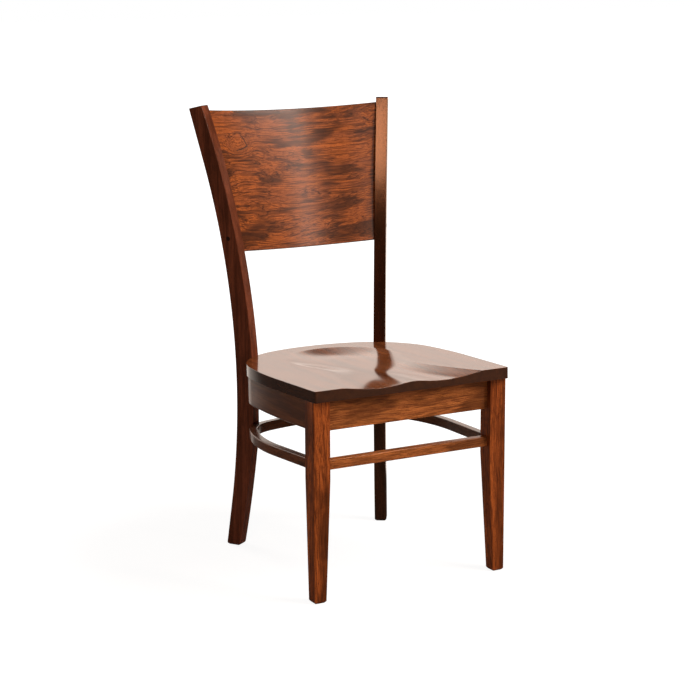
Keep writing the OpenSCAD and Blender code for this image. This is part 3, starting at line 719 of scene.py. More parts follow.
# Panel patches: the stain's dark and pale blotches; the darker ones on the right half, beside the right post,
# are painted shade from that post as well.
PANEL_WOOD = WoodFinish(
    "stained_panel", "panel_wood", "b15c27", "98502a", "30160c", cut=Cut.PLAIN, figure=0.8, blotch_and_shading=0.8,
    fleck=1.0, lacquer=0.7, lacquer_roughness=0.21, relief=0.08,
    knots=(((0.475, 0.548), (0.052, 0.036), 0.028), ((0.556, 0.467), (0.085, 0.022), 0.008),
           ((0.472, 0.406), (0.070, 0.020), 0.007), ((0.700, 0.440), (0.100, 0.026), -0.010)),
    stains_and_painted_shading=(((0.748, 0.466), (0.088, 0.028), 0.24), ((0.698, 0.451), (0.050, 0.018), 0.20),
            ((0.561, 0.354), (0.069, 0.024), 0.17), ((0.574, 0.392), (0.035, 0.015), 0.22),
            ((0.500, 0.619), (0.138, 0.022), 0.22), ((0.593, 0.607), (0.075, 0.024), 0.15),
            ((0.700, 0.612), (0.138, 0.020), 0.15), ((0.556, 0.467), (0.045, 0.022), 0.14),
            ((0.652, 0.526), (0.025, 0.012), 0.17), ((0.746, 0.333), (0.125, 0.036), 0.29),
            ((0.473, 0.335), (0.100, 0.030), 0.22), ((0.482, 0.484), (0.060, 0.044), -0.26),
            ((0.475, 0.560), (0.085, 0.056), -0.18), ((0.482, 0.387), (0.050, 0.035), -0.12),
            ((0.745, 0.562), (0.050, 0.030), -0.12), ((0.756, 0.374), (0.035, 0.022), -0.12),
            ((0.794, 0.482), (0.030, 0.030), -0.10), ((0.600, 0.520), (0.090, 0.050), 0.05),
            ((0.733, 0.402), (0.106, 0.026), 0.20)),
    checks=((0.485, 0.570), (0.493, 0.562), (0.4995, 0.5456), (0.484, 0.5395), (0.469, 0.536)))
PLUG_WOOD = WoodFinish("dark_plugs", "post_wood", "2c130a", "1f0d06", "100604", lacquer=0.4,
                       lacquer_roughness=0.3)
BLOCK_WOOD = WoodFinish("bare_blocks", "block_wood", "c69a67", "b08350", "7d5733", figure=0.3, blotch_and_shading=0.1,
                        lacquer=0.0, roughness=0.7)
DOWEL_WOOD = WoodFinish("bare_dowels", "dowel_wood", "d6b382", "c39c68", "94703f", figure=0.1, blotch_and_shading=0.1,
                        lacquer=0.0, roughness=0.7)
ZINC = MetalFinish("zinc_plate", "steel", "b9bcc0")
BRASS = MetalFinish("turned_brass", "brass", "c9a655", 0.3)


# Work at the bench: what every piece goes through


class Bench:
    """Tools that shape a piece and hand it over."""

    @staticmethod
    def pick(piece: Piece | None = None) -> None:
        """Leave edit mode and select one piece only, or none.

        Args:
            piece: the piece, which becomes the active one too.
        """
        if bpy.context.object is not None and bpy.context.object.mode != "OBJECT":
            bpy.ops.object.mode_set(mode="OBJECT")
        bpy.ops.object.select_all(action="DESELECT")
        if piece is not None:
            bpy.context.view_layer.objects.active = piece
            piece.select_set(True)

    @staticmethod
    def start(name: str, shape: Callable[..., object], **settings: object) -> Piece:
        """Add a primitive, name it and put its place in its mesh.

        Args:
            name: the piece's name.
            shape: the operator that adds the primitive.
            settings: the operator's settings.

        Returns:
            The piece.
        """
        Bench.pick()
        shape(**settings)
        piece = bpy.context.object
        piece.name = piece.data.name = name
        bpy.ops.object.transform_apply(location=True, rotation=True, scale=True)
        return piece

    @staticmethod
    @contextmanager
    def editing(piece: Piece) -> Iterator[None]:
        """Edit a piece, with all of it selected at first, and leave edit mode at the end.

        Args:
            piece: the piece.

        Yields:
            Nothing, once edit mode has begun.
        """
        Bench.pick(piece)
        bpy.ops.object.mode_set(mode="EDIT")
        bpy.ops.mesh.select_all(action="SELECT")
        yield
        bpy.ops.object.mode_set(mode="OBJECT")

    @staticmethod
    def choose(piece: Piece, test: Callable[[Edge], bool]) -> None:
        """Select the edges of a piece that pass a test, in edit mode.

        Args:
            piece: the piece.
            test: takes an edge and says whether it passes.
        """
        bpy.ops.mesh.select_mode(type="EDGE")
        bpy.ops.mesh.select_all(action="DESELECT")
        mesh = bmesh.from_edit_mesh(piece.data)
        for edge in mesh.edges:
            edge.select_set(test(edge))
        mesh.select_flush_mode()
        bmesh.update_edit_mesh(piece.data)

    @staticmethod
    def at_foot(edge: Edge) -> bool:
        """Whether an edge lies on the floor."""
        return all(vert.co.z < TINY for vert in edge.verts)

    @staticmethod
    def extrude(way: Sequence[float] = (0, 0, 0)) -> None:
        """Extrude what is selected, in edit mode."""
        bpy.ops.mesh.extrude_region_move(TRANSFORM_OT_translate={"value": tuple(way)})

    @staticmethod
    def cut(point: Sequence[float], away: Sequence[float]) -> None:
        """Cut away what lies beyond a plane through a point, and close the cut, in edit mode."""
        bpy.ops.mesh.select_all(action="SELECT")
        bpy.ops.mesh.bisect(plane_co=point, plane_no=away, use_fill=True, clear_outer=True)

    @staticmethod
    def move(piece: Piece, place: Placing) -> None:
        """Move every point of a piece to where place puts it.

        Args:
            piece: the piece.
            place: takes a point to its new place.
        """
        for vert in piece.data.vertices:
            vert.co = place(vert.co.copy())
        piece.data.update()

    @staticmethod
    def outwards(piece: Piece) -> None:
        """Merge doubled points and turn all faces outwards.

        Args:
            piece: the piece.
        """
        with Bench.editing(piece):
            bpy.ops.mesh.remove_doubles(threshold=1e-6)
            bpy.ops.mesh.normals_make_consistent(inside=False)

    @staticmethod
    def modify(piece: Piece, kind: str, **settings: object) -> None:
        """Add a modifier with its settings and apply it.

        Args:
            piece: the piece.
            kind: the modifier's type.
            settings: the modifier's settings.
        """
        bpy.context.view_layer.objects.active = piece
        modifier = piece.modifiers.new(kind.lower(), kind)
        for key, value in settings.items():
            setattr(modifier, key, value)
        bpy.ops.object.modifier_apply(modifier=modifier.name)

    @staticmethod
    def ease(piece: Piece, width: float, angle: float = 25.0, segments: int = 3) -> None:
        """Round the edges that turn by more than an angle in degrees."""
        Bench.modify(piece, "BEVEL", width=width, segments=segments, limit_method="ANGLE",
                     angle_limit=math.radians(angle), use_clamp_overlap=True, harden_normals=False)

    @staticmethod
    def smooth(piece: Piece, angle: float = 40.0) -> None:
        """Shade a piece smoothly but for edges sharper than an angle, and its broad faces flat.

        Args:
            piece: the piece.
            angle: the angle, in degrees.
        """
        Bench.pick(piece)
        bpy.ops.object.shade_smooth_by_angle(angle=math.radians(angle))
        Bench.modify(piece, "WEIGHTED_NORMAL", mode="FACE_AREA", weight=50, keep_sharp=True)

    @staticmethod
    def mark_grain(piece: Piece, along: Placing, board: Sequence[float] = (0, 0, 0)) -> None:
        """Write each point's place in its board: along the grain, across it, into it.

        Args:
            piece: the finished piece.
            along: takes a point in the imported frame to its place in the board.
            board: where in the tree the board begins, so that boards differ.
        """
        begin = Vector(board)
        values = [part for vert in piece.data.vertices for part in along(vert.co) + begin]
        piece.data.attributes.new(GRAIN, "FLOAT_VECTOR", "POINT").data.foreach_set("vector", values)

    @staticmethod
    def mark_ends(piece: Piece, share: Callable[[bpy.types.MeshVertex], float]) -> None:
        """Write how much end grain each point of a finished piece shows, from 0 to 1."""
        values = [share(vert) for vert in piece.data.vertices]
        piece.data.attributes.new(END, "FLOAT", "POINT").data.foreach_set("value", values)

    @staticmethod
    def dress(piece: Piece, material: bpy.types.Material) -> None:
        """Give a piece one material all over."""
        piece.data.materials.clear()
        piece.data.materials.append(material)

    @staticmethod
    def deliver(piece: Piece, finish: Finish, *nodes: str) -> None:
        """Dress a piece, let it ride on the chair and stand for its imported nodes.

        Args:
            piece: the finished piece.
            finish: its finish.
            nodes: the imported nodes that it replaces.
        """
        Bench.dress(piece, finish.material())
        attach(piece, ROOT)
        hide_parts(*nodes)
        low, high = ([round(1000 * end(vert.co[axis] for vert in piece.data.vertices)) for axis in range(3)]
                     for end in (min, max))
        LOG.info("%s: %d faces, from %s to %s mm", piece.name, len(piece.data.polygons), low, high)


# Sub-assemblies


@dataclass
class FrontLegs:
    """The two square front legs, tapered inside and behind below the apron.

    Attributes:
        sizes: the chair's shared sizes.
        foot_width: side of the section at the floor.
        taper_height: height at which the taper starts.
        chamfer: chamfer round the foot.
        easing: radius of the long edges.
        spare: length that is cut off at the top.
        board: where in the tree the right leg's board begins.
    """

    sizes: ChairSizes
    foot_width: float = 0.0278
    taper_height: float = 0.265
    chamfer: float = 0.004
    easing: float = 0.0013
    spare: float = 0.01
    board: Place = (0.3, 0.17, 0.4)

    def build(self) -> None:
        """Model and deliver both legs."""
        for side in Side:
            self.leg(side)

    def leg(self, side: Side) -> None:
        """Model one leg from a cube.

        Args:
            side: its side of the chair.
        """
        s = self.sizes
        outer, half = side.value * s.leg_half, s.leg_width / 2
        top = s.under_seat + self.spare
        leg = Bench.start(f"front_leg_{side.label}_shown", bpy.ops.mesh.primitive_cube_add, size=1,
                          location=(outer - side.value * half, s.front_y + half, top / 2),
                          scale=(s.leg_width, s.leg_width, top))
        with Bench.editing(leg):
            bpy.ops.mesh.bisect(plane_co=(0, 0, self.taper_height), plane_no=(0, 0, 1))
            Bench.cut((0, s.front_y, s.under_seat), (0, s.fall, 1))
            Bench.choose(leg, Bench.at_foot)
            share = self.foot_width / s.leg_width
            bpy.ops.transform.resize(value=(share, share, 1), center_override=(outer, s.front_y, 0))
            bpy.ops.mesh.bevel(offset=self.chamfer, segments=1, affect="EDGES")
        Bench.outwards(leg)
        Bench.ease(leg, self.easing)
        Bench.smooth(leg)
        Bench.mark_grain(leg, lambda p: Vector((p.z, p.x, p.y)), side.board(self.board))
        Bench.deliver(leg, LEG_WOOD, f"front_leg_{side.label}")


@dataclass
class RearPosts:
    """The two sabre posts, turned outwards, from the floor to the top of the back.

    Attributes:
        sizes: the chair's shared sizes.
        height: height of the post's top at its front.
        depth: depth at the seat.
        flat: heights between which the front is flat.
        front_radius: radius of the front above the seat.
        front_slope: slope at which it leaves the seat.
        foot_radius: radius of the front below the stretcher.
        foot_slope: slope at which it leaves the stretcher.
        back_radius: radius of the hollow back.
        back_middle: height at which the back stands upright.
        back_arc: heights between which the back is hollow.
        top_fall: fall of the top towards the back.
        chamfer: chamfer round the foot.
        easing: radius of the long edges.
        spare: length that is cut off at the top.
        steps: rows of faces from the floor to the top.
        board: where in the tree the right post's board begins.
    """

    sizes: ChairSizes
    height: float = 0.9997
    depth: float = 0.0415
    flat: Point = (0.266, 0.44807)
    front_radius: float = 2.010
    front_slope: float = 0.074
    foot_radius: float = 3.170
    foot_slope: float = 0.111
    back_radius: float = 1.807
    back_middle: float = 0.355
    back_arc: Point = (0.096, 0.874)
    top_fall: float = math.radians(13)
    chamfer: float = 0.004
    easing: float = 0.0014
    spare: float = 0.03
    steps: int = 150
    board: Place = (1.7, 0.9, 0.2)

    @staticmethod
    def arc_depth(slope: float, radius: float, run: float) -> float:
        """Depth of an arc after a run of height, with its slope at the start.

        Args:
            slope: slope of the arc at its start.
            radius: its radius.
            run: height above or below its start.

        Returns:
            How far it lies behind its start.
        """
        angle = math.atan(slope)
        height = radius * math.sin(angle) + run
        return radius * math.cos(angle) - math.sqrt(radius**2 - height**2)

    def front(self, height: float) -> float:
        """Depth of the post's front at a height.

        Args:
            height: height over the floor.

        Returns:
            Depth behind the flat front.
        """
        if height > self.flat[1]:
            return self.arc_depth(self.front_slope, self.front_radius, height - self.flat[1])
        if height < self.flat[0]:
            return self.arc_depth(self.foot_slope, self.foot_radius, self.flat[0] - height)
        return 0.0

    def back(self, height: float) -> float:
        """Depth of the post's back at a height.

        Args:
            height: height over the floor.

        Returns:
            Depth behind the flat front.
        """
        near = min(max(height, self.back_arc[0]), self.back_arc[1]) - self.back_middle
        lift = height - self.back_middle - near
        side = math.sqrt(self.back_radius**2 - near**2)
        return self.depth + self.back_radius - side + near / side * lift

    def build(self) -> None:
        """Model and deliver both posts."""
        for side in Side:
            self.post(side)

    def post(self, side: Side) -> None:
        """Model one post from a strip as high as the chair.

        Args:
            side: its side of the chair.
        """
        s = self.sizes
        post = Bench.start(f"rear_post_{side.label}_shown", bpy.ops.mesh.primitive_grid_add, size=1,
                           x_subdivisions=1, y_subdivisions=self.steps)

        def strip(p: Vector) -> Vector:
            """Put a point of the strip on the post's outline."""
            height = (p.y + 0.5) * (self.height + self.spare)
            return Vector((-s.post_width / 2, self.front(height) if p.x < 0 else self.back(height), height))

        Bench.move(post, strip)
        with Bench.editing(post):
            Bench.extrude((s.post_width, 0, 0))
            Bench.cut((0, self.front(self.height), self.height), (0, math.tan(self.top_fall), 1))
            Bench.choose(post, Bench.at_foot)
            bpy.ops.mesh.bevel(offset=self.chamfer, segments=1, affect="EDGES")
        place = s.at_post()
        post.data.transform(place if side is Side.RIGHT else MIRROR @ place)
        Bench.outwards(post)
        Bench.ease(post, self.easing)
        Bench.smooth(post)
        home = place.inverted()

        def along(p: Vector) -> Vector:
            """A point's place in the board that the post is sawn from."""
            q = home @ Vector((abs(p.x), p.y, p.z))
            return Vector((q.z, q.y, q.x))

        Bench.mark_grain(post, along, side.board(self.board))
        Bench.mark_ends(post, lambda vert: float(vert.normal.z > 0.5))
        # The right post gets the darker copy of the post wood: painted shade.
        finish = LEFT_POST_WOOD if side is Side.LEFT else RIGHT_POST_SHADED_WOOD
        Bench.deliver(post, finish, f"rear_post_{side.label}")


@dataclass
class Rails:
    """Aprons and stretchers: two straight ones and two bent ones.

    Attributes:
        sizes: the chair's shared sizes.
        apron_height: height of both aprons.
        apron_thickness: thickness of both aprons.
        stretcher_low: height of the stretchers' underside at the front.
        stretcher_height: height of both stretchers.
        stretcher_thickness: thickness of the front stretcher.
        hoop_thickness: thickness of the hoop.
        apron_bend: the bent apron's outer line.
        hoop_bend: the hoop's outer line.
        easing: radius of the long edges.
    """

    sizes: ChairSizes
    apron_height: float = 0.0667
    apron_thickness: float = 0.019
    stretcher_low: float = 0.2819
    stretcher_height: float = 0.0215
    stretcher_thickness: float = 0.019
    hoop_thickness: float = 0.018
    apron_bend: BendShape = BendShape(bulge=0.0025, wide_y=0.150, side_radius=1.485, back_radius=0.640,
                                      back_in=0.016, notch=0.0026)
    hoop_bend: BendShape = BendShape(bulge=0.0092, wide_y=0.215, side_radius=0.400, back_radius=0.460,
                                     back_in=0.016, notch=0.0022)
    easing: float = 0.0022

    def build(self) -> None:
        """Model and deliver the four rails."""
        s = self.sizes
        low = s.under_seat - self.apron_height
        under = s.under_seat - (s.rail_setback + self.apron_thickness) * s.fall
        self.straight("front_apron", low, under - low, self.apron_thickness, 0.3)
        self.straight("front_stretcher", self.stretcher_low, self.stretcher_height,
                      self.stretcher_thickness, 1.1)
        self.bent("bent_apron", self.apron_bend, low, self.apron_height, self.apron_thickness)
        self.bent("hoop_stretcher", self.hoop_bend, self.stretcher_low, self.stretcher_height,
                  self.hoop_thickness)

    def straight(self, name: str, low: float, height: float, thickness: float, start: float) -> None:
        """Model a straight rail between the front legs.

        Args:
            name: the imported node's name.
            low: height of its underside.
            height: its height.
            thickness: its thickness.
            start: where its board begins in the tree.
        """
        s = self.sizes
        rail = Bench.start(f"{name}_shown", bpy.ops.mesh.primitive_cube_add, size=1,
                           location=(0, s.front_y + s.rail_setback + thickness / 2, low + height / 2),
                           scale=(2 * (s.leg_half - s.leg_width), thickness, height))
        with Bench.editing(rail):
            Bench.choose(rail, lambda edge: abs(sum(vert.co.x for vert in edge.verts)) < TINY)
            bpy.ops.mesh.bevel(offset=self.easing, segments=3, affect="EDGES")
        Bench.outwards(rail)
        Bench.smooth(rail)
        Bench.mark_grain(rail, lambda p: Vector((p.x, p.z, p.y)), board=(start, start, 0.1))
        Bench.deliver(rail, RAIL_WOOD, name)

    def bent(self, name: str, shape: BendShape, low: float, height: float, thickness: float) -> None:
        """Model a bent rail: its end is swept round the arcs, mirrored and cut at the legs' backs.

        Args:
            name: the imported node's name.
            shape: its outer line.
            low: height of its underside above the legs' fronts.
            height: its height.
            thickness: its thickness.
        """
        s = self.sizes
        bend = s.bend((s.rail_half, s.leg_width), shape)
        out = Vector((math.cos(bend.side.start), math.sin(bend.side.start), 0))
        ahead = Vector((-out.y, out.x, 0))
        corner = Vector((*bend.side.point(bend.side.start), 0)) - bend.straight * ahead
        rail = Bench.start(f"{name}_shown", bpy.ops.mesh.primitive_plane_add, size=1)
        up = Vector((0, 0, height))
        Bench.move(rail, lambda p: corner - out * thickness * (p.x + 0.5) + up * (p.y + 0.5))
        with Bench.editing(rail):
            if bend.straight > 1e-6:
                Bench.extrude(bend.straight * ahead)
            for arc, steps in zip(bend.arcs, shape.steps):
                bpy.ops.mesh.spin(steps=steps, angle=arc.start - arc.end, center=(*arc.centre, 0),
                                  axis=(0, 0, 1))
            bpy.ops.mesh.delete(type="FACE")
        Bench.move(rail, lambda p: Vector((0 if abs(p.x) < TINY else p.x, p.y, p.z)))
        Bench.modify(rail, "MIRROR", use_axis=(True, False, False), use_mirror_merge=True,
                     merge_threshold=1e-5)
        Bench.outwards(rail)
        Bench.ease(rail, self.easing, angle=60)
        tilt = s.sloped(low)
        rail.data.transform(tilt)
        with Bench.editing(rail):
            Bench.cut((0, s.front_y + s.leg_width, 0), (0, -1, 0))
        Bench.smooth(rail)
        home = tilt.inverted()

        def along(p: Vector) -> Vector:
            """A point's place along the rail, up its side and into it.

            Args:
                p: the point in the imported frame.

            Returns:
                Its place in the board.
            """
            q = home @ p
            length, inside = bend.run(q.x, q.y)
            return Vector((math.copysign(1.0, q.x) * (length - 1.0), q.z, inside))

        Bench.mark_grain(rail, along, board=(2.0 + low, low, 0.3))
        Bench.deliver(rail, BENT_WOOD, name)


@dataclass
class ScoopedSeat:
    """The seat board, scooped for two thighs with a pommel between them.

    Attributes:
        sizes: the chair's shared sizes.
        scoop_depth: depth of the scoop below the rim.
        front_half: half width of the scoop at the front edge.
        waist_half: half width at the waist.
        waist_y: depth of the waist.
        bowl_half: half width of the bowl.
        bowl_y: depth of the bowl's widest place.
        back_y: depth of the scoop's back rim.
        blend: width of the slope from the rim to the bottom.
        pommel_half: half width of the pommel.
        pommel_height: height of the pommel over the bottom.
        pommel_length: length over which the pommel dies out.
        front_power: how the scoop's width grows from the waist to the front.
        bowl_power: how round the bowl's back is: 2 is an ellipse.
        side_power: how steep the slope starts at the rim.
        corner: radius of the front corners.
        easing: radius of the edges.
        bend: the seat's sides and back.
        front_in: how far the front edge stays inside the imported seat's.
        front_steps: faces along half the front edge.
        side_steps: faces along the straight side.
        rings: rings of faces round the hub: the first one's share of the outline, their step and number.
        hub_back: how far the rings' hub lies behind the waist.
        end_level: how level the surface is where the end grain is gone.
    """

    sizes: ChairSizes
    scoop_depth: float = 0.0096
    front_half: float = 0.170
    waist_half: float = 0.104
    waist_y: float = 0.172
    bowl_half: float = 0.130
    bowl_y: float = 0.295
    back_y: float = 0.427
    blend: float = 0.094
    pommel_half: float = 0.038
    pommel_height: float = 0.0057
    pommel_length: float = 0.190
    front_power: float = 1.6
    bowl_power: float = 2.0
    side_power: float = 1.1
    corner: float = 0.004
    easing: float = 0.0022
    bend: BendShape = BendShape(bulge=0.0028, wide_y=0.173, side_radius=0.865, back_radius=0.353,
                                back_in=0.0, notch=0.0051, steps=(24, 44, 20))
    front_in: float = 0.0001
    front_steps: int = 44
    side_steps: int = 8
    rings: tuple[tuple[float, float, int], ...] = ((0.994, 0.0115, 34), (0.62, 0.027, 22))
    hub_back: float = 0.04
    end_level: float = 0.8

    @staticmethod
    def ease_in(t: float) -> float:
        """Rise smoothly from 0 to 1."""
        t = min(max(t, 0.0), 1.0)
        return t * t * (3 - 2 * t)

    def inside(self, x: float, y: float) -> float:
        """How far a place lies inside the scoop's rim.

        Args:
            x: distance from the middle plane.
            y: depth behind the legs' fronts.

        Returns:
            The distance, or less than 0 outside the rim.
        """
        if y > self.bowl_y:
            p = self.bowl_power
            part = (abs(x) / self.bowl_half) ** p + ((y - self.bowl_y) / (self.back_y - self.bowl_y)) ** p
            return self.bowl_half * (1 - part ** (1 / p))
        if y < self.waist_y:
            share = (self.waist_y - y) / (self.waist_y + self.sizes.front_overhang)
            half = self.waist_half + (self.front_half - self.waist_half) * share**self.front_power
        else:
            share = self.ease_in((y - self.waist_y) / (self.bowl_y - self.waist_y))
            half = self.waist_half + (self.bowl_half - self.waist_half) * share
        return half - abs(x)

    def dip(self, x: float, y: float) -> float:
        """Depth of the seat's top below its rim at a place.

        Args:
            x: distance from the middle plane.
            y: depth behind the legs' fronts.

        Returns:
            The depth.
        """
        t = min(max(self.inside(x, y) / self.blend, 0.0), 1.0)
        fade = 1 - self.ease_in((y + self.sizes.front_overhang) / self.pommel_length)
        pommel = self.pommel_height / self.scoop_depth * math.exp(-((x / self.pommel_half) ** 2)) * fade
        return self.scoop_depth * math.sin(math.pi / 2 * t) ** self.side_power * (1 - pommel)

    def outline(self) -> list[Point]:
        """The seat's outline, anticlockwise from the middle of its front edge.

        Returns:
            Its points.
        """
        s = self.sizes
        half, front = s.seat_front_width / 2, self.front_in - s.front_overhang
        bend = s.bend((half, front), self.bend)
        inner = half - self.corner
        right = [(inner * i / self.front_steps, front) for i in range(self.front_steps + 1)]
        right += [(inner + self.corner * math.cos(a), front + self.corner + self.corner * math.sin(a))
                  for a in (math.radians(d) for d in range(-72, 1, 18))]
        x, y = right[-1]
        end_x, end_y = bend.side.point(bend.side.start)
        shares = [i / self.side_steps for i in range(1, self.side_steps)]
        right += [(x + (end_x - x) * share, y + (end_y - y) * share) for share in shares]
        right += bend.outline(self.bend.steps)
        return right + [(-x, y) for x, y in right[-2:0:-1]]

    def build(self) -> None:
        """Model the board ring by ring and deliver it."""
        s = self.sizes
        outline = self.outline()
        seat = Bench.start("seat_shown", bpy.ops.mesh.primitive_circle_add, vertices=len(outline), radius=1,
                           fill_type="NGON")
        for vert, (x, y) in zip(seat.data.vertices, outline):
            vert.co = (x, y, -s.seat_thickness)
        with Bench.editing(seat):
            Bench.extrude((0, 0, s.seat_thickness))
            last = 1.0
            for share in (first - step * i for first, step, count in self.rings for i in range(count)):
                Bench.extrude()
                bpy.ops.transform.resize(value=(share / last, share / last, 1),
                                         center_override=(0, self.waist_y + self.hub_back, 0))
                last = share
            bpy.ops.mesh.merge(type="CENTER")
        Bench.outwards(seat)
        Bench.move(seat, lambda p: Vector((p.x, p.y, p.z - self.dip(p.x, p.y))) if p.z > -TINY else p)
        with Bench.editing(seat):
            Bench.choose(seat, self.on_rim)
            bpy.ops.mesh.bevel(offset=self.easing, segments=4, affect="EDGES", clamp_overlap=True)
        tilt = s.sloped(s.seat_height)
        seat.data.transform(tilt)
        Bench.smooth(seat, angle=50)
        home = tilt.inverted()
        Bench.mark_grain(seat, lambda p: Vector(((home @ p).y, p.x, (home @ p).z)), board=(0.8, 0.35, 0.2))
        Bench.mark_ends(seat, lambda vert: 1.0 - self.ease_in(abs(vert.normal.z) / self.end_level))
        Bench.deliver(seat, SEAT_WOOD, "seat")

    @staticmethod
    def on_rim(edge: Edge) -> bool:
        """Whether an edge runs round the board's upper or lower side."""
        level = abs(edge.verts[0].co.z - edge.verts[1].co.z) < 0.004
        return level and len(edge.link_faces) == 2 and edge.calc_face_angle() > math.radians(50)


@dataclass
class BackPanel:
    """The bowed and leaning panel between the posts, and the plugs that mark its screws.

    Attributes:
        sizes: the chair's shared sizes.
        posts: the rear posts that hold it.
        low: height of its lower corners.
        high: height of its upper corners.
        thickness: its thickness.
        radius: radius of its bow.
        behind: distance of its face behind the posts' fronts, at its corners.
        groove: how deep its edges sit in the posts.
        easing: radius of its upper and lower edges.
        plug_height: height of the plugs.
        plug_width: diameter of the plugs.
        plug_length: thickness of the plugs.
        plug_proud: how far the plugs stand out of the posts.
        plug_easing: radius of their edges.
        columns: faces from post to post.
        rows: faces from the lower edge to the upper one.
        veneer: how much a depth into the panel counts as a depth into the wood.
        edge_share: how much end grain the upper and lower edges show.
        lean: how far the panel leans back, worked out from its corners.
        length: its length up its face, worked out too.
    """

    sizes: ChairSizes
    posts: RearPosts
    low: float = 0.6786
    high: float = 0.988
    thickness: float = 0.012
    radius: float = 0.690
    behind: float = 0.0024
    groove: float = 0.008
    easing: float = 0.0018
    plug_height: float = 0.7077
    plug_width: float = 0.0095
    plug_length: float = 0.006
    plug_proud: float = 0.0002
    plug_easing: float = 0.0004
    columns: int = 72
    rows: int = 24
    veneer: float = 0.2
    edge_share: float = 0.8
    lean: float = field(init=False)
    length: float = field(init=False)

    def __post_init__(self) -> None:
        """Work out the lean and the length from the two corners."""
        low, high = self.corner(self.low), self.corner(self.high)
        run = Vector((high.y - low.y, self.high - self.low))
        self.lean = math.atan2(run.x, run.y) + math.asin((self.sag(high.x) - self.sag(low.x)) / run.length)
        self.length = run.x * math.sin(self.lean) + run.y * math.cos(self.lean)

    def sag(self, x: float) -> float:
        """Depth of the bow at a distance from the middle."""
        return self.radius - math.sqrt(self.radius**2 - x * x)

    def on_bow(self, angle: float, up: float) -> Vector:
        """The point of the face at an angle of the bow and a distance up, in the panel's frame."""
        return Vector((self.radius * math.sin(angle), self.radius * math.cos(angle), up))

    def corner(self, height: float) -> Vector:
        """Where the panel's face meets the right post's inner face, in plan."""
        s = self.sizes
        return (s.post_middle + (self.posts.front(height) + self.behind) * s.post_run
                - s.post_width / 2 * s.post_across)

    def frame(self) -> Matrix:
        """The panel's frame: z up along it from its lower edge, its bow's axis at the origin.

        Returns:
            The frame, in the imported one.
        """
        low = self.corner(self.low)
        sag = self.sag(low.x)
        return (Matrix.Translation((0, self.sizes.front_y + low.y + sag * math.cos(self.lean),
                                    self.low - sag * math.sin(self.lean)))
                @ Matrix.Rotation(-self.lean, 4, "X") @ Matrix.Translation((0, -self.radius, 0)))

    def edge_angle(self, place: Matrix, up: float) -> float:
        """The bow's angle at which the panel ends in the posts' grooves, found by halving.

        Args:
            place: the panel's frame.
            up: distance up the panel.

        Returns:
            The angle from the middle plane.
        """
        s = self.sizes
        bottom = s.post_middle + (self.groove - s.post_width / 2) * s.post_across
        low, high = 0.0, 0.6
        for _ in range(40):
            angle = (low + high) / 2
            point = place @ self.on_bow(angle, up)
            limit = bottom.x + (point.y - s.front_y - bottom.y) * math.tan(s.post_turn)
            low, high = (angle, high) if point.x < limit else (low, angle)
        return low

    def build(self) -> None:
        """Model and deliver the panel and its plugs."""
        place = self.frame()
        panel = Bench.start("back_panel_shown", bpy.ops.mesh.primitive_grid_add, size=1,
                            x_subdivisions=self.columns, y_subdivisions=self.rows)
        limits: dict[float, float] = {}

        def bow(p: Vector) -> Vector:
            """Put a point of the flat grid on the bowed face.

            Args:
                p: the point of the grid.

            Returns:
                Its place in the panel's frame.
            """
            up = round((p.y + 0.5) * self.length, 7)
            if up not in limits:
                limits[up] = self.edge_angle(place, up)
            return self.on_bow(2 * p.x * limits[up], up)

        Bench.move(panel, bow)
        Bench.modify(panel, "SOLIDIFY", thickness=self.thickness, offset=self.outward(panel))
        Bench.outwards(panel)
        Bench.ease(panel, self.easing, angle=50)
        panel.data.transform(place)
        Bench.smooth(panel)
        home = place.inverted()

        def along(p: Vector) -> Vector:
            """A point's place in the veneer: round the bow, up the panel and into it.

            Args:
                p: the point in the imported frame.

            Returns:
                Its place in the veneer.
            """
            q = home @ p
            inward = self.veneer * (math.hypot(q.x, q.y) - self.radius)
            return Vector((self.radius * math.atan2(q.x, q.y), q.z, inward))

        Bench.mark_grain(panel, along, board=(0.62, 0.31, 0.7))
        up = place.to_3x3() @ Vector((0, 0, 1))
        Bench.mark_ends(panel, lambda vert: self.edge_share * (abs(vert.normal.dot(up)) > 0.5))
        Bench.deliver(panel, PANEL_WOOD, "back_panel")
        for side in Side:
            self.plug(side)

    @staticmethod
    def outward(panel: Piece) -> float:
        """The offset that lets a shell grow away from the bow's axis."""
        face = panel.data.polygons[len(panel.data.polygons) // 2]
        return 1.0 if face.normal.y > 0 else -1.0

    def plug(self, side: Side) -> None:
        """Model the plug over the screw in one post.

        Args:
            side: its side of the chair.
        """
        s = self.sizes
        share = (self.plug_height - self.low) / (self.high - self.low)
        x = self.corner(self.low).x + share * (self.corner(self.high).x - self.corner(self.low).x)
        turn = math.asin(x / self.radius)
        reach = s.post_width / math.cos(s.post_turn - turn)
        plug = Bench.start(f"panel_screw_plug_{side.label}_shown", bpy.ops.mesh.primitive_cylinder_add,
                           vertices=40, radius=self.plug_width / 2, depth=2 * self.plug_length,
                           location=(0, 0, reach))
        plug.data.transform(self.frame() @ Matrix.Translation((0, 0, share * self.length))
                            @ Matrix.Rotation(-turn, 4, "Z")
                            @ Matrix.Translation((0, self.radius + self.thickness / 2, 0))
                            @ Matrix.Rotation(math.pi / 2, 4, "Y"))
        out = Vector((*s.post_across, 0))
        with Bench.editing(plug):
            Bench.cut(s.at_post() @ Vector((s.post_width / 2, 0, 0)) + self.plug_proud * out, out)
        if side is Side.LEFT:
            plug.data.transform(MIRROR)
        Bench.outwards(plug)
        Bench.ease(plug, self.plug_easing, angle=50, segments=2)
        Bench.smooth(plug)
        Bench.mark_grain(plug, lambda p: p)
        Bench.deliver(plug, PLUG_WOOD, "panel_screw_plugs")


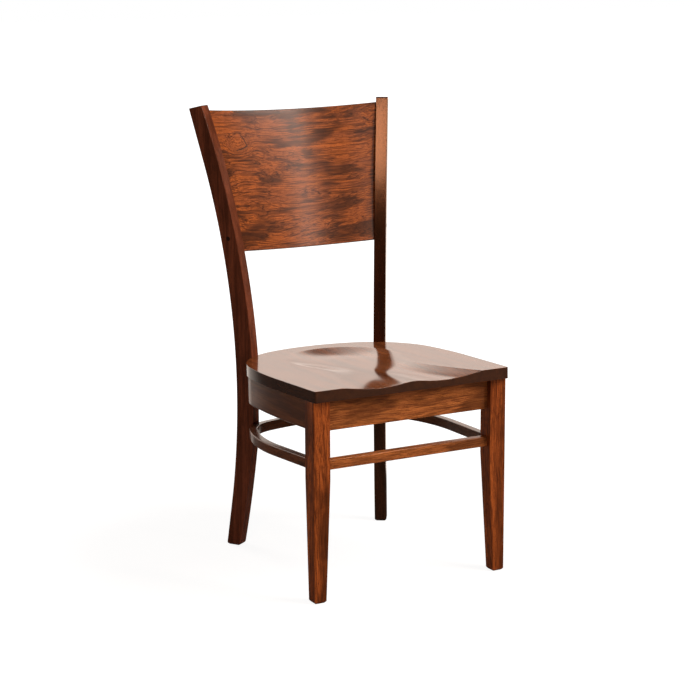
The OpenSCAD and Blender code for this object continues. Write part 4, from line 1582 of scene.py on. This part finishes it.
@dataclass
class HiddenParts:
    """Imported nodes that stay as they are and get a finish: blocks, dowels and metal.

    Attributes:
        nodes: each finish's nodes.
    """

    nodes: tuple[tuple[Finish, tuple[str, ...]], ...] = (
        (BLOCK_WOOD, ("corner_block_left", "corner_block_right")),
        (DOWEL_WOOD, ("front_apron_dowels", "bent_apron_dowels", "front_stretcher_dowels", "hoop_dowels")),
        (BRASS, ("post_bolt_inserts",)),
        (ZINC, ("post_bolts", "post_bolt_washers", "hoop_screws", "panel_screws", "corner_block_screws",
                "front_seat_screws", "rear_seat_screws")))

    def build(self) -> None:
        """Give each node its finish."""
        for finish, names in self.nodes:
            for name in names:
                Bench.dress(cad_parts[name], finish.material())
                LOG.info("%s: packed node in %s", name, finish.name)


# The place where the picture is taken


@dataclass(frozen=True)
class Viewpoint:
    """The camera, as found from the photograph's perspective.

    Attributes:
        place: where it stands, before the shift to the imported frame.
        yaw: its turn from straight back.
        pitch: how much it looks down.
        roll: its turn about its own axis.
        focal: focal length in pixels.
        picture_width: width of the picture in pixels.
        sensor: width of the camera's sensor in millimetres.
    """

    place: tuple[float, float, float] = (-2.0128, -3.3598, 1.3414)
    yaw: float = math.radians(29.026)
    pitch: float = math.radians(11.874)
    roll: float = math.radians(-0.256)
    focal: float = 1921.0
    picture_width: int = 700
    sensor: float = 36.0

    def build(self, front_y: float) -> None:
        """Add the camera.

        Args:
            front_y: the front legs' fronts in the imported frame.
        """
        data = bpy.data.cameras.new("camera")
        data.sensor_width = self.sensor
        data.lens = self.focal / self.picture_width * self.sensor
        data.clip_end = 100
        camera = bpy.data.objects.new("camera", data)
        bpy.context.scene.collection.objects.link(camera)
        x, y, z = self.place
        camera.matrix_world = (Matrix.Translation((x, y + front_y, z)) @ Matrix.Rotation(-self.yaw, 4, "Z")
                               @ Matrix.Rotation(math.pi / 2 - self.pitch, 4, "X")
                               @ Matrix.Rotation(self.roll, 4, "Z"))
        bpy.context.scene.camera = camera


@dataclass(frozen=True)
class SoftBox:
    """A soft rectangular lamp that looks at the chair.

    Attributes:
        name: its name.
        azimuth: degrees to the right of straight in front.
        elevation: degrees above the floor.
        distance: distance from the chair's middle.
        size: its width and height.
        power: its power in watts.
        colour: its colour.
        target: height over the floor at which it looks.
    """

    name: str
    azimuth: float
    elevation: float
    distance: float
    size: Point
    power: float
    colour: str
    target: float = 0.5

    def build(self) -> None:
        """Add the lamp."""
        data = bpy.data.lights.new(self.name, "AREA")
        data.shape = "RECTANGLE"
        data.size, data.size_y = self.size
        data.energy = self.power
        data.color = linear(self.colour)[:3]
        lamp = bpy.data.objects.new(self.name, data)
        bpy.context.scene.collection.objects.link(lamp)
        a, e = math.radians(self.azimuth), math.radians(self.elevation)
        away = Vector((math.sin(a) * math.cos(e), -math.cos(a) * math.cos(e), math.sin(e)))
        lamp.location = Vector((0, 0, self.target)) + self.distance * away
        lamp.rotation_euler = away.to_track_quat("Z", "Y").to_euler()


@dataclass(frozen=True)
class Studio:
    """Floor, world and lamps.

    Attributes:
        boxes: the lamps.
        fill: strength of the world's light on the chair.
        dim: strength of the world before the chair, as the lacquer mirrors it.
        behind: how far behind the chair a direction lies where the backdrop comes in.
        backdrop: strengths of the world behind it, each after the height of its direction.
        flag: the darker upper right of the backdrop: where it starts across and up, and how dark it is.
        backdrop_colour: colour of the light that comes from the world.
        floor_paint: how pale the floor's paint is.
        floor_white: strength of the floor's own white for the camera.
        floor_dim: how much of that white the lacquer doesn't mirror.
        shadow_share: share of the floor's lit paint near the chair.
        shadow_reach: distances over which that share dies out.
        mirror_reach: depths behind the chair over which the floor turns white in the lacquer.
        mirror_patches: nearer patches of the floor, across and along it, that are white in the lacquer too.
    """

    boxes: tuple[SoftBox, ...] = (
        SoftBox("key", 44, 42, 3.2, (1.2, 1.2), 80, "fff6ec"),
        SoftBox("strip", 29, 25, 3.6, (0.32, 1.9), 29, "ffe8d8"),
        SoftBox("wash", 3, 24, 3.6, (0.5, 1.4), 9, "ffe8d8"),
        SoftBox("accent", -37, 37.5, 3.6, (0.3, 1.1), 12, "ffdcc0"),
        SoftBox("back", -165, 36, 3.4, (1.2, 1.2), 26, "fff6f0"),
    )
    fill: float = 0.12
    dim: float = 0.03
    behind: Point = (0.2, 0.6)
    backdrop: tuple[Point, ...] = (
        (0.0, 1.6), (0.05, 1.25), (0.1, 1.12), (0.156, 1.55), (0.2, 1.8), (0.3, 2.6), (0.36, 3.0),
        (0.45, 1.6), (0.6, 0.6), (1.0, 0.25))
    flag: tuple[Point, Point, float] = ((0.41, 0.465), (0.29, 0.37), 0.95)
    backdrop_colour: str = "fff0e4"
    floor_paint: float = 0.7
    floor_white: float = 1.3
    floor_dim: float = 0.93
    shadow_share: float = 0.3
    shadow_reach: Point = (0.5, 1.7)
    mirror_reach: Point = (2.3, 3.2)
    mirror_patches: tuple[tuple[Point, Point], ...] = (
        ((-0.25, -0.02), (0.45, 0.6)), ((-0.85, -0.35), (1.3, 1.5)))

    def build(self) -> None:
        """Add the floor, the world and the lamps."""
        self.floor()
        self.world()
        for box in self.boxes:
            box.build()
        bpy.context.scene.view_settings.view_transform = "Standard"

    @staticmethod
    def rays(sheet: NodeSheet) -> tuple[Socket, Socket]:
        """Whether a ray comes from the camera, and whether it comes from the lacquer.

        Args:
            sheet: the sheet that asks.

        Returns:
            Both answers, as 1 or 0.
        """
        rays = sheet.add("LightPath").outputs
        seen = sheet.math("MAXIMUM", rays["Is Camera Ray"], rays["Is Transmission Ray"])
        return seen, rays["Is Glossy Ray"]

    def floor(self) -> None:
        """Add a pale floor that looks white but keeps the chair's shadow."""
        floor = Bench.start("floor", bpy.ops.mesh.primitive_plane_add, size=60, location=(0, 0, -0.0002))
        sheet = NodeSheet(bpy.data.materials.new("floor_paint"))
        seen, glossy = self.rays(sheet)
        place = sheet.add("TexCoord").outputs["Object"]
        parts = sheet.add("SeparateXYZ", {0: place}).outputs
        lit = sheet.ramp(parts["Y"], *self.mirror_reach)
        for patch in self.mirror_patches:
            across, along = (sheet.ramp(parts[axis], *reach) for axis, reach in zip("XY", patch))
            lit = sheet.math("MAXIMUM", lit, sheet.math("MULTIPLY", across, along))
        white = sheet.math("MULTIPLY_ADD", sheet.ramp(sheet.vector("LENGTH", place), *self.shadow_reach),
                           self.shadow_share, 1 - self.shadow_share)
        share = sheet.math("MAXIMUM", sheet.math("MULTIPLY", seen, white), glossy)
        gone = sheet.math("MULTIPLY", glossy, sheet.math("SUBTRACT", self.floor_dim, lit), clamp=True)
        strength = sheet.math("MULTIPLY", sheet.math("SUBTRACT", 1.0, gone), self.floor_white)
        glow = sheet.add("Emission", {"Color": sheet.mix(glossy, WHITE, linear(self.backdrop_colour)),
                                      "Strength": strength})
        paint = sheet.add("BsdfDiffuse", {"Color": (*[self.floor_paint] * 3, 1)})
        mix = sheet.add("MixShader", {0: share, 1: paint.outputs[0], 2: glow.outputs[0]})
        Bench.dress(floor, sheet.finish(mix))

    def world(self) -> None:
        """Make the world white for the camera, and white behind the chair for its lacquer."""
        sheet = NodeSheet(bpy.data.worlds.new("studio"), "OutputWorld")
        seen, glossy = self.rays(sheet)
        parts = sheet.add("SeparateXYZ", {0: sheet.add("TexCoord").outputs["Generated"]}).outputs
        bright = sheet.add("ValToRGB", {"Fac": parts["Z"]})
        top = max(strength for _, strength in self.backdrop)
        stops = bright.color_ramp.elements
        for number, (height, strength) in enumerate(self.backdrop):
            stop = stops[number] if number < 2 else stops.new(height)
            stop.position, stop.color = height, (*[strength / top] * 3, 1)
        across, up = (sheet.ramp(parts[axis], *reach) for axis, reach in zip("XZ", self.flag))
        left = sheet.math("MULTIPLY_ADD", sheet.math("MULTIPLY", across, up), -top * self.flag[2], top)
        backdrop = sheet.math("MULTIPLY", bright.outputs["Color"], left)
        mirror = sheet.blend(sheet.ramp(parts["Y"], *self.behind), self.dim, backdrop)
        strength = sheet.blend(seen, sheet.blend(glossy, self.fill, mirror), 1.0)
        tint = sheet.mix(seen, linear(self.backdrop_colour), WHITE)
        bpy.context.scene.world = sheet.finish(sheet.add("Background", {"Strength": strength, "Color": tint}))


def main() -> None:
    """Build the chair's pieces and the studio round it."""
    logging.basicConfig(level=logging.INFO, format="%(name)s: %(message)s")
    front_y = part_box("front_leg_left")[0].y
    sizes = ChairSizes(front_y)
    Viewpoint().build(front_y)
    posts = RearPosts(sizes)
    for assembly in (FrontLegs(sizes), posts, Rails(sizes), ScoopedSeat(sizes), BackPanel(sizes, posts),
                     HiddenParts()):
        assembly.build()
    Studio().build()


if __name__ == "__main__":
    main()
